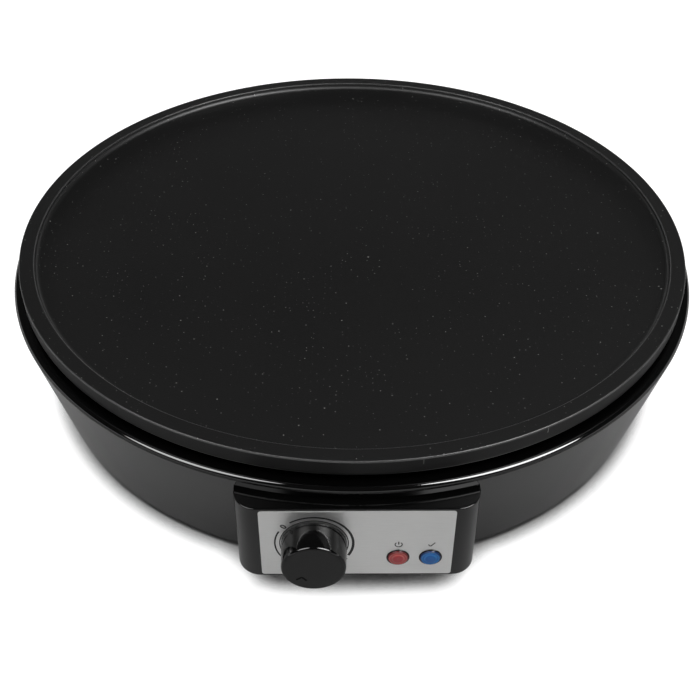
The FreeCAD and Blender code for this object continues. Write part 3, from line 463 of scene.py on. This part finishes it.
def nonstick_coat():
    """Sprayed PTFE: dark satin grey with a 0.5 mm grain and sparse flecks.

    A fleck sits in 45 % of the 2.4 mm cells of the floor and rim, 0.15 to 0.5 mm wide. Its strength
    is a random share to the power 4, so most are faint. On the two rim edges, within 0.5 mm of each
    edge's radius, the coat is thin and smoother, and its paler shade there is a painted highlight.
    """
    material = new_material("sprayed_ptfe_coat")
    at = add_node(material, "ShaderNodeTexCoord").outputs["Object"]
    height = add_node(material, "ShaderNodeSeparateXYZ", {"Vector": at}).outputs["Z"]
    cells = add_node(material, "ShaderNodeTexVoronoi", {"Vector": at, "Scale": 420.0},
                     voronoi_dimensions="2D")
    chance = add_node(material, "ShaderNodeSeparateColor", {"Color": cells.outputs["Color"]})
    size = add_node(material, "ShaderNodeMath", {0: chance.outputs[1], 1: 0.08, 2: 0.03},
                    operation="MULTIPLY_ADD").outputs[0]
    near = add_node(material, "ShaderNodeMath", {0: cells.outputs["Distance"], 1: size},
                    operation="LESS_THAN").outputs[0]
    chosen = add_node(material, "ShaderNodeMath", {0: chance.outputs[0], 1: 0.55},
                      operation="GREATER_THAN").outputs[0]
    strength = add_node(material, "ShaderNodeMath", {0: chance.outputs[2], 1: 4.0},
                        operation="POWER").outputs[0]
    seen = add_node(material, "ShaderNodeMath", {0: height, 1: plate_top - 0.0032},
                    operation="GREATER_THAN").outputs[0]
    fleck = near
    for share in (chosen, strength, seen):
        fleck = add_node(material, "ShaderNodeMath", {0: fleck, 1: share}, operation="MULTIPLY").outputs[0]

    around = add_node(material, "ShaderNodeVectorMath", {0: at, 1: (1.0, 1.0, 0.0)}, operation="MULTIPLY")
    from_axis = add_node(material, "ShaderNodeVectorMath", {0: around.outputs[0]},
                         operation="LENGTH").outputs["Value"]
    edges = []
    for edge_r in (plate_r, plate_r - rim_w):
        off = add_node(material, "ShaderNodeMath", {0: from_axis, 1: edge_r}, operation="SUBTRACT")
        away = add_node(material, "ShaderNodeMath", {0: off.outputs[0]}, operation="ABSOLUTE")
        edges.append(add_node(material, "ShaderNodeMath", {0: away.outputs[0], 1: -2000.0, 2: 1.0},
                              operation="MULTIPLY_ADD", use_clamp=True).outputs[0])
    thin_edge_and_painted_highlight = add_node(material, "ShaderNodeMath", {0: edges[0], 1: edges[1]}, operation="MAXIMUM").outputs[0]
    on_top = add_node(material, "ShaderNodeMath", {0: height, 1: plate_top - 0.0008},
                      operation="GREATER_THAN").outputs[0]
    thin = add_node(material, "ShaderNodeMath", {0: thin_edge_and_painted_highlight, 1: on_top}, operation="MULTIPLY").outputs[0]

    cloud = add_node(material, "ShaderNodeTexNoise", {"Vector": at, "Scale": 14.0, "Detail": 3.0})
    coat = add_node(material, "ShaderNodeMix", {
        0: cloud.outputs["Fac"], 6: linear("#040404"), 7: linear("#0A0A0A")}, data_type="RGBA").outputs[2]
    # The flecks are the coat's own. The paler shade on the thin edges is a painted highlight.
    for share, shade in ((fleck, "#868684"), (thin, "#484848")):
        coat = add_node(material, "ShaderNodeMix", {0: share, 6: coat, 7: linear(shade)},
                        data_type="RGBA").outputs[2]
    rough = add_node(material, "ShaderNodeMath", {0: thin, 1: -0.12, 2: 0.42},
                     operation="MULTIPLY_ADD").outputs[0]
    grain = add_node(material, "ShaderNodeTexNoise", {"Vector": at, "Scale": 1900.0, "Detail": 2.0})
    bump = add_node(material, "ShaderNodeBump", {
        "Height": grain.outputs["Fac"], "Strength": 0.35, "Distance": 0.00008})
    return finish_material(material, add_node(material, "ShaderNodeBsdfPrincipled", {
        "Base Color": coat, "Roughness": rough, "IOR": 1.34, "Normal": bump.outputs[0]}))


add_piece("plate_shell", plate_mesh(), nonstick_coat(), "cooker", ["cooking_plate"])


# Dial knob: a turned-looking cap moulded in black, polished on its side and satin on its face, with
# a rounded front edge. The pointer is a small chevron sunk into the face near its rim, drawn as flat
# near-black strokes on the face that paint the groove's shade.
def revolved_y(profile, centre_x, centre_z, segments):
    """Grid of a profile (radius, y) turned about a line along Y."""
    angle = np.linspace(0, 2 * math.pi, segments, endpoint=False)[:, None]
    r, y = profile[:, 0], profile[:, 1]
    return np.stack([centre_x + r * np.cos(angle), y + 0 * angle, centre_z + r * np.sin(angle)], -1)


knob_low, knob_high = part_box("knob")
dial_x = (knob_low[0] + knob_high[0]) / 2
dial_z = (knob_low[2] + knob_high[2]) / 2
knob_r = (knob_high[0] - knob_low[0]) / 2
knob_taper = 0.0005
knob_edge_r = 0.0011
knob_front = knob_low[1] + 0.00005


def knob_mesh():
    """Section from the axis at the back over the tapered side and the front edge."""
    back = knob_high[1]
    corners = [(0, back), (knob_r, back), (knob_r - knob_taper, knob_front), (0, knob_front)]
    radii = [0, 0.0002, knob_edge_r, 0]
    profile = rounded_profile(corners, radii, closed=False, support=0.0002)
    return grid_mesh("knob_cap", revolved_y(profile, dial_x, dial_z, 256), closed_rows=True)


def knob_black():
    """Black moulding with two finishes from the mould: a polished side, and a spark-eroded satin
    face whose 0.17 mm grain scatters the floor's reflection to an even dark grey."""
    material = new_material("black_moulding_satin_face")
    at = add_node(material, "ShaderNodeTexCoord").outputs["Object"]
    depth = add_node(material, "ShaderNodeSeparateXYZ", {"Vector": at}).outputs["Y"]
    face = add_node(material, "ShaderNodeMath", {0: depth, 1: knob_front + 0.0002},
                    operation="LESS_THAN").outputs[0]
    erosion = add_node(material, "ShaderNodeTexNoise", {"Vector": at, "Scale": 6000.0, "Detail": 2.0})
    satin = add_node(material, "ShaderNodeMath", {0: face, 1: 0.36, 2: 0.07}, operation="MULTIPLY_ADD")
    rough = add_node(material, "ShaderNodeMath", {0: erosion.outputs["Fac"], 1: 0.04, 2: satin.outputs[0]},
                     operation="MULTIPLY_ADD").outputs[0]
    relief = add_node(material, "ShaderNodeMath", {0: face, 1: 0.25}, operation="MULTIPLY").outputs[0]
    bump = add_node(material, "ShaderNodeBump", {
        "Height": erosion.outputs["Fac"], "Strength": relief, "Distance": 0.00003})
    return finish_material(material, add_node(material, "ShaderNodeBsdfPrincipled", {
        "Base Color": linear("#060606"), "Roughness": rough, "IOR": 1.38, "Normal": bump.outputs[0]}))


def flat_marks(name, quads, y):
    """Flat strokes facing the user: each quad is four (x, z) corners, counterclockwise from the front."""
    points = np.array(quads, float).reshape(-1, 2)
    vertices = np.stack([points[:, 0], np.full(len(points), y), points[:, 1]], 1)
    mesh = bpy.data.meshes.new(name)
    mesh.from_pydata(vertices, [], np.arange(len(points)).reshape(-1, 4).tolist())
    return mesh


def stroke(x, z, angle, length, width):
    """Four corners of a straight stroke that starts at (x, z) and runs at an angle."""
    along = np.array([math.cos(angle), math.sin(angle)])
    side = np.array([-along[1], along[0]]) * width / 2
    start = np.array([x, z])
    end = start + along * length
    return [start - side, end - side, end + side, start + side]


def groove_painted_shade():
    """Flat mark where the pointer's groove is moulded: matt, nearly black plastic, whose darkness is painted
    shade of the groove.
    """
    material = new_material("sunk_groove_painted_shade")
    at = add_node(material, "ShaderNodeTexCoord").outputs["Object"]
    grain = add_node(material, "ShaderNodeTexNoise", {"Vector": at, "Scale": 5000.0})
    rough = add_node(material, "ShaderNodeMath", {0: grain.outputs["Fac"], 1: 0.2, 2: 0.7},
                     operation="MULTIPLY_ADD").outputs[0]
    return finish_material(material, add_node(material, "ShaderNodeBsdfPrincipled", {
        "Base Color": linear("#020202"), "Roughness": rough, "Specular IOR Level": 0.1}))


pointer_angle = math.radians(225.0)
pointer_r = 0.0086
pointer_arm = 0.0026
pointer_arms_aim = math.radians(262.0)
pointer_spread = math.radians(48.0)
pointer_w = 0.0008
tip_x = dial_x + (pointer_r - pointer_arm) * math.cos(pointer_angle)
tip_z = dial_z + (pointer_r - pointer_arm) * math.sin(pointer_angle)
arms = [stroke(tip_x, tip_z, pointer_arms_aim + side * pointer_spread, pointer_arm, pointer_w)
        for side in (-1, 1)]
add_piece("knob_cap", knob_mesh(), knob_black(), "dial", ["knob"])
# The groove is not cut: these flat dark strokes are painted shade of it.
pointer_mesh = flat_marks("knob_pointer", arms, knob_front - 0.00003)
add_piece("knob_pointer", pointer_mesh, groove_painted_shade(), "dial")


# Lamp rings and lenses: a low black ring pressed into the panel holds a tinted cap with a raised
# round button in its middle. The small neon lamp sits behind it.
lamp_segments = 96


def ring_mesh(name, front, seat, centre_x, centre_z, outer_r, inner_r):
    """Closed section of the ring, from the panel to its rounded front edge and back in the bore."""
    corners = [(outer_r, seat), (outer_r, front), (inner_r, front), (inner_r, seat)]
    profile = rounded_profile(corners, [0.0001, 0.0002, 0.0001, 0.0001], support=0.0001)
    points = revolved_y(profile, centre_x, centre_z, lamp_segments)
    return grid_mesh(name, points, closed_rows=True, closed_columns=True)


def lens_mesh(name, crown, seat, centre_x, centre_z, lens_r, button_r):
    """Section from the cap's foot over its rounded crown and a step to the domed button's middle."""
    corners = [(lens_r, seat), (lens_r, crown + 0.0002), (lens_r - 0.0004, crown),
               (button_r + 0.0002, crown), (button_r, crown - 0.0002),
               (button_r * 0.6, crown - 0.00035), (0, crown - 0.0004)]
    radii = [0, 0.0002, 0.0003, 0.00015, 0.0002, 0.0004, 0]
    profile = rounded_profile(corners, radii, closed=False, support=0.0001)
    return grid_mesh(name, revolved_y(profile, centre_x, centre_z, lamp_segments), closed_rows=True)


def ring_black():
    """Moulded black ring with a fine haze, so its highlights stay narrow and dim."""
    material = new_material("black_ring_moulding")
    at = add_node(material, "ShaderNodeTexCoord").outputs["Object"]
    haze = add_node(material, "ShaderNodeTexNoise", {"Vector": at, "Scale": 1500.0})
    rough = add_node(material, "ShaderNodeMath", {0: haze.outputs["Fac"], 1: 0.1, 2: 0.2},
                     operation="MULTIPLY_ADD").outputs[0]
    return finish_material(material, add_node(material, "ShaderNodeBsdfPrincipled", {
        "Base Color": linear("#030303"), "Roughness": rough, "IOR": 1.4}))


def tinted_lens(name, edge, body, glow, centre_x, centre_z, lens_r):
    """Tinted clear plastic with a hard gloss on top. Its tint is deepest in the crown's thick edge,
    which is painted shade, and paler in two rings, which are painted light thrown back by the wall
    behind. The rings follow the distance from the lens's axis as a share of its radius."""
    material = new_material(name)
    at = add_node(material, "ShaderNodeTexCoord").outputs["Object"]
    centre = add_node(material, "ShaderNodeCombineXYZ", {"X": centre_x, "Z": centre_z}).outputs[0]
    flat = add_node(material, "ShaderNodeVectorMath", {0: at, 1: (1.0, 0.0, 1.0)}, operation="MULTIPLY")
    offset = add_node(material, "ShaderNodeVectorMath", {0: flat.outputs[0], 1: centre},
                      operation="DISTANCE")
    across = add_node(material, "ShaderNodeMath", {0: offset.outputs["Value"], 1: lens_r},
                      operation="DIVIDE").outputs[0]
    ramp = add_node(material, "ShaderNodeValToRGB", {"Fac": across})
    stops = ramp.color_ramp.elements
    stops[0].color, stops[0].position = linear(body), 0.0
    stops[1].color, stops[1].position = linear(edge), 1.0
    for position, shade in ((0.46, body), (0.58, glow), (0.72, body), (0.84, glow), (0.93, edge)):
        stops.new(position).color = linear(shade)
    cloud = add_node(material, "ShaderNodeTexNoise", {"Vector": at, "Scale": 900.0, "Detail": 2.0})
    rough = add_node(material, "ShaderNodeMath", {0: cloud.outputs["Fac"], 1: 0.08, 2: 0.06},
                     operation="MULTIPLY_ADD").outputs[0]
    return finish_material(material, add_node(material, "ShaderNodeBsdfPrincipled", {
        "Base Color": ramp.outputs["Color"], "Roughness": rough, "IOR": 1.49, "Subsurface Weight": 0.3,
        "Subsurface Scale": 0.001}))


panel_low, panel_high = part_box("control_panel")
panel_front = panel_low[1]
ring_proud, crown_proud = 0.0003, 0.0008
ring_w, ring_sunk, ring_overlap = 0.0005, 0.0002, 0.00005
button_share = 0.56
black_ring = ring_black()
# Each lamp's edge shade is painted shade, and its glow shade is painted light.
lamp_looks = {"power": ("red_lens", "#641A20", "#A03238", "#AC5852"),
              "ready": ("blue_lens", "#0A2C5C", "#04549A", "#2470B2")}
for lamp, (slot, edge, body, glow) in lamp_looks.items():
    ring_low, ring_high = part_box(lamp + "_bezel")
    lamp_x = (ring_low[0] + ring_high[0]) / 2
    lamp_z = (ring_low[2] + ring_high[2]) / 2
    ring_r = (ring_high[0] - ring_low[0]) / 2
    lens_r = ring_r - ring_w
    ring = ring_mesh(lamp + "_ring", panel_front - ring_proud, panel_front + ring_sunk, lamp_x, lamp_z,
                     ring_r, lens_r - ring_overlap)
    add_piece(lamp + "_ring", ring, black_ring, "cooker", [lamp + "_bezel"])
    cap = lens_mesh(lamp + "_cap", panel_front - crown_proud, panel_front, lamp_x, lamp_z, lens_r,
                    lens_r * button_share)
    tint = tinted_lens(slot + "_plastic", edge, body, glow, lamp_x, lamp_z, lens_r)
    add_piece(lamp + "_cap", cap, tint, "cooker", [lamp + "_lens"])


# Panel prints: a dark line round the dial that thickens towards its hot end, with a plain number at
# each end, and a small sign over each lamp. They are screen printed, a few hundredths thick. A thin
# ring in the same ink close round the knob's foot is painted shade of the gap under the knob.
arc_points = 97
figure_bold = 0.00012


def arc_band(name, centre_x, centre_z, radius, thin, thick, first, last, y):
    """Flat band along an arc in degrees, its width growing evenly from one end to the other."""
    angle = np.radians(np.linspace(first, last, arc_points))[:, None]
    width = np.linspace(thin, thick, arc_points)[:, None]
    r = radius + width * np.array([0.5, -0.5])
    if last < first:
        r = r[:, ::-1]
    points = np.stack([centre_x + r * np.cos(angle), np.full(r.shape, y),
                       centre_z + r * np.sin(angle)], -1)
    return grid_mesh(name, points)


def number_mesh(name, text, size, radius, at_angle, lean, y):
    """Plain figure laid flat on the panel, its middle on a circle round the dial."""
    curve = bpy.data.curves.new(name, "FONT")
    curve.body = text
    curve.size = size
    curve.offset = figure_bold
    curve.align_x, curve.align_y = "CENTER", "CENTER"
    holder = bpy.data.objects.new(name + "_text", curve)
    scene.collection.objects.link(holder)
    mesh = bpy.data.meshes.new_from_object(holder.evaluated_get(bpy.context.evaluated_depsgraph_get()))
    bpy.data.objects.remove(holder)
    place_at = (dial_x + radius * math.cos(at_angle), y, dial_z + radius * math.sin(at_angle))
    mesh.transform(Matrix.Translation(place_at) @ Matrix.Rotation(-lean, 4, "Y")
                   @ Matrix.Rotation(math.pi / 2, 4, "X"))
    return mesh


def print_ink():
    """Screen-printed black ink: matt, slightly uneven where the mesh laid it down."""
    material = new_material("screen_printed_ink")
    at = add_node(material, "ShaderNodeTexCoord").outputs["Object"]
    cover = add_node(material, "ShaderNodeTexNoise", {"Vector": at, "Scale": 3000.0, "Detail": 2.0})
    shade = add_node(material, "ShaderNodeMapRange", {
        "Value": cover.outputs["Fac"], "To Min": 0.004, "To Max": 0.012})
    return finish_material(material, add_node(material, "ShaderNodeBsdfPrincipled", {
        "Base Color": shade.outputs[0], "Roughness": 0.5, "IOR": 1.4}))


ink = print_ink()
ink_y = panel_front - 0.00002
gap_shade_w = 0.0004
gap_shade_r = knob_r + gap_shade_w
scale_r = 0.0144
scale_first, scale_last = 211.0, -29.0
scale_gap = (152.0, 127.0)
scale_thin, scale_mid, scale_thick = 0.00058, 0.00064, 0.00105
number_size = 0.0034
low_number_angle = math.radians(sum(scale_gap) / 2)
high_number_angle = math.radians(-37.0)
sign_r = 0.0013
sign_w = 0.00046
sign_above_ring = 0.0030
prints = {
    # This ring is drawn in ink as painted shade of the gap under the knob's foot.
    "knob_gap_painted_shade": arc_band("knob_gap_painted_shade", dial_x, dial_z, gap_shade_r, gap_shade_w, gap_shade_w,
                          360.0, 0.0, ink_y),
    "scale_start": arc_band("scale_start", dial_x, dial_z, scale_r, scale_thin, scale_mid,
                            scale_first, scale_gap[0], ink_y),
    "scale_line": arc_band("scale_line", dial_x, dial_z, scale_r, scale_mid, scale_thick,
                           scale_gap[1], scale_last, ink_y),
    "scale_low_number": number_mesh("scale_low_number", "0", number_size, scale_r, low_number_angle,
                                    low_number_angle - math.pi / 2, ink_y),
    "scale_high_number": number_mesh("scale_high_number", "5", number_size, scale_r,
                                     high_number_angle, 0.0, ink_y),
}
for lamp in lamp_looks:
    ring_low, ring_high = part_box(lamp + "_bezel")
    sign_x = (ring_low[0] + ring_high[0]) / 2
    sign_z = ring_high[2] + sign_above_ring
    if lamp == "power":
        prints["power_sign"] = arc_band("power_sign", sign_x, sign_z, sign_r, sign_w, sign_w,
                                        130.0, 410.0, ink_y)
        bar = stroke(sign_x, sign_z, math.pi / 2, 1.25 * sign_r, sign_w)
        prints["power_sign_bar"] = flat_marks("power_sign_bar", [bar], ink_y)
    else:
        low_x, low_z = sign_x - 0.2 * sign_r, sign_z - 0.8 * sign_r
        tick = [stroke(low_x, low_z, math.radians(52), 2.0 * sign_r, sign_w),
                stroke(low_x, low_z, math.radians(135), 1.0 * sign_r, sign_w)]
        prints["ready_sign"] = flat_marks("ready_sign", tick, ink_y)
for name, mesh in prints.items():
    add_piece(name, mesh, ink, "cooker")


# Control panel: a thin aluminium plate in silver lacquer over a fine brushed grain, with rounded
# corners and a bevelled edge that catches the light, set into the box's face.
panel_corner_r = 0.0011
panel_bevel_w, panel_bevel_l = 0.00035, 0.00006


def panel_mesh():
    """Rounded outline in (x, z), lofted from the back to a bevelled front edge."""
    half_w = (panel_high[0] - panel_low[0]) / 2
    half_h = (panel_high[2] - panel_low[2]) / 2
    middle_x = (panel_high[0] + panel_low[0]) / 2
    middle_z = (panel_high[2] + panel_low[2]) / 2
    rings = []
    for inset, y in ((0.0, panel_high[1]), (0.0, panel_front + panel_bevel_l),
                     (panel_bevel_w, panel_front), (2 * panel_bevel_w, panel_front)):
        w, h = half_w - inset, half_h - inset
        outline = rounded_profile([(-w, h), (-w, -h), (w, -h), (w, h)], [panel_corner_r - inset] * 4)
        rings.append(np.stack([middle_x + outline[:, 0], np.full(len(outline), y),
                               middle_z + outline[:, 1]], 1))
    mesh = grid_mesh("panel_plate", np.stack(rings, 1), closed_rows=True, caps=True)
    mesh.shade_flat()
    return mesh


def silver_lacquer():
    """Brushed aluminium under clear lacquer: 0.1 mm scratches along the panel blur reflections up
    and down, and the lacquer evens them out."""
    material = new_material("silver_lacquer_brushed")
    at = add_node(material, "ShaderNodeTexCoord").outputs["Object"]
    along = add_node(material, "ShaderNodeMapping", {"Vector": at, "Scale": (150.0, 150.0, 9000.0)})
    brush = add_node(material, "ShaderNodeTexNoise", {
        "Vector": along.outputs[0], "Scale": 1.0, "Detail": 3.0}).outputs["Fac"]
    metal = add_node(material, "ShaderNodeMix", {0: brush, 6: linear("#D4D4D3"), 7: linear("#E8E8E7")},
                     data_type="RGBA").outputs[2]
    rough = add_node(material, "ShaderNodeMath", {0: brush, 1: 0.10, 2: 0.33},
                     operation="MULTIPLY_ADD").outputs[0]
    bump = add_node(material, "ShaderNodeBump", {"Height": brush, "Strength": 0.08, "Distance": 0.00004})
    return finish_material(material, add_node(material, "ShaderNodeBsdfPrincipled", {
        "Base Color": metal, "Metallic": 1.0, "Roughness": rough, "Normal": bump.outputs[0]}))


add_piece("panel_plate", panel_mesh(), silver_lacquer(), "cooker", ["control_panel"])


# Heating parts under the plate: an annealed steel tube with ceramic beads and push-on blades at its
# ends, and the zinc-plated straps, spacers and screws that hold it and the shield to the plate.
def grained(name, colours, scale, roughness, metallic=0.0, bump=0.0, stretch=(1.0, 1.0, 1.0), more={}):
    """Two close shades mixed by noise of a real grain size, whose middle third is spread over the
    whole mix. Roughness and relief come from the same noise."""
    material = new_material(name)
    at = add_node(material, "ShaderNodeTexCoord").outputs["Object"]
    laid = add_node(material, "ShaderNodeMapping", {"Vector": at, "Scale": stretch}).outputs[0]
    grain = add_node(material, "ShaderNodeTexNoise", {
        "Vector": laid, "Scale": scale, "Detail": 3.0}).outputs["Fac"]
    sharper = add_node(material, "ShaderNodeMath", {0: grain, 1: 3.0, 2: -1.0},
                       operation="MULTIPLY_ADD", use_clamp=True).outputs[0]
    colour = add_node(material, "ShaderNodeMix", {
        0: sharper, 6: linear(colours[0]), 7: linear(colours[1])}, data_type="RGBA").outputs[2]
    rough = add_node(material, "ShaderNodeMath", {
        0: grain, 1: roughness[1] - roughness[0], 2: roughness[0]}, operation="MULTIPLY_ADD").outputs[0]
    relief = add_node(material, "ShaderNodeBump", {"Height": grain, "Strength": bump, "Distance": 0.0001})
    return finish_material(material, add_node(material, "ShaderNodeBsdfPrincipled", {
        "Base Color": colour, "Metallic": metallic, "Roughness": rough, "Normal": relief.outputs[0],
        **more}))


# The sheath is blued and browned by heat in patches of 6 mm. The ceramic is chalky, with a grain
# just under a millimetre. The zinc is cool and satin, in 2 mm clouds a shade apart.
annealed = grained("annealed_steel_sheath", ("#5C5450", "#4A4E58"), 160.0, (0.35, 0.5), 1.0, 0.1)
steatite = grained("unglazed_steatite", ("#DCD6CA", "#E6E0D6"), 1200.0, (0.6, 0.75), bump=0.2)
zinc = grained("zinc_plated_steel", ("#B4B8BC", "#C6C6C2"), 500.0, (0.25, 0.38), 1.0, 0.05)
dress(annealed, "heating_element")
dress(steatite, "element_seals", "thermostat")
dress(zinc, "element_tabs", "element_clamps", "strap_screws", "sensor_clip", "fuse_clip", "plate_screws",
      "lower_spacers", "upper_spacers")

# Temperature guards: a sensor bulb with its capillary, and a can that holds the one-shot fuse. The
# drawn brass shows 4 mm clouds of tarnish, and the can's tin plating is pale and smooth. The
# thermostat's blades are brass too, and its shaft and the screws are zinc plated.
brass = grained("drawn_brass", ("#C9A55C", "#B8924A"), 260.0, (0.25, 0.4), 1.0, 0.05)
tinned_can = grained("tin_plated_can", ("#B8B6B0", "#C8C6C0"), 600.0, (0.25, 0.35), 1.0)
dress(brass, "sensor_and_capillary", "thermostat_tabs", "earth_tag", "terminal_ferrules")
dress(tinned_can, "thermal_fuse")
dress(zinc, "thermostat_screws", "thermostat_shaft", "knob_clip", "earth_screw", "terminal_screw",
      "box_screws")

# Heat shield: aluminised steel sheet pressed to a dish. Rolling leaves lines 0.7 mm apart and about
# 8 mm long, which draw its highlight out along the sheet.
rolled = grained("aluminised_sheet", ("#C2C4C6", "#D2D2D0"), 120.0, (0.3, 0.42), 1.0, 0.06,
                 (1.0, 12.0, 1.0))
dress(rolled, "heat_shield")

# Inlet, feet and terminals: moulded rubber pushed into the housing and the base, dull with a 0.4 mm
# bloom, and a terminal block moulded in polyamide, which is milky and slightly cloudy.
rubber = grained("moulded_rubber", ("#101010", "#181818"), 2500.0, (0.75, 0.9), bump=0.25,
                 more={"IOR": 1.45})
polyamide = grained("natural_polyamide", ("#DEDACE", "#E6E2D8"), 700.0, (0.45, 0.6), bump=0.1)
dress(rubber, "cord_gland", "foot_front_left", "foot_front_right", "foot_rear_left", "foot_rear_right")
dress(polyamide, "terminal_block")

# Lamps: small neon tubes of thin drawn glass, held behind the lenses. They are clear and glossy,
# with a trace of grey film.
neon_glass = grained("neon_glass", ("#E8E8E4", "#F2F2F0"), 400.0, (0.02, 0.08),
                     more={"Transmission Weight": 0.9, "IOR": 1.5})
dress(neon_glass, "power_lamp", "ready_lamp")

# Base: a pressed steel cover held by six screws, under black stove lacquer. A 0.8 mm orange peel
# breaks up its soft shine.
lacquer = grained("black_stove_lacquer", ("#0C0C0C", "#121212"), 1200.0, (0.35, 0.5), bump=0.3)
dress(lacquer, "bottom_cover")
dress(zinc, "cover_screws")

scene.view_settings.view_transform = "Standard"
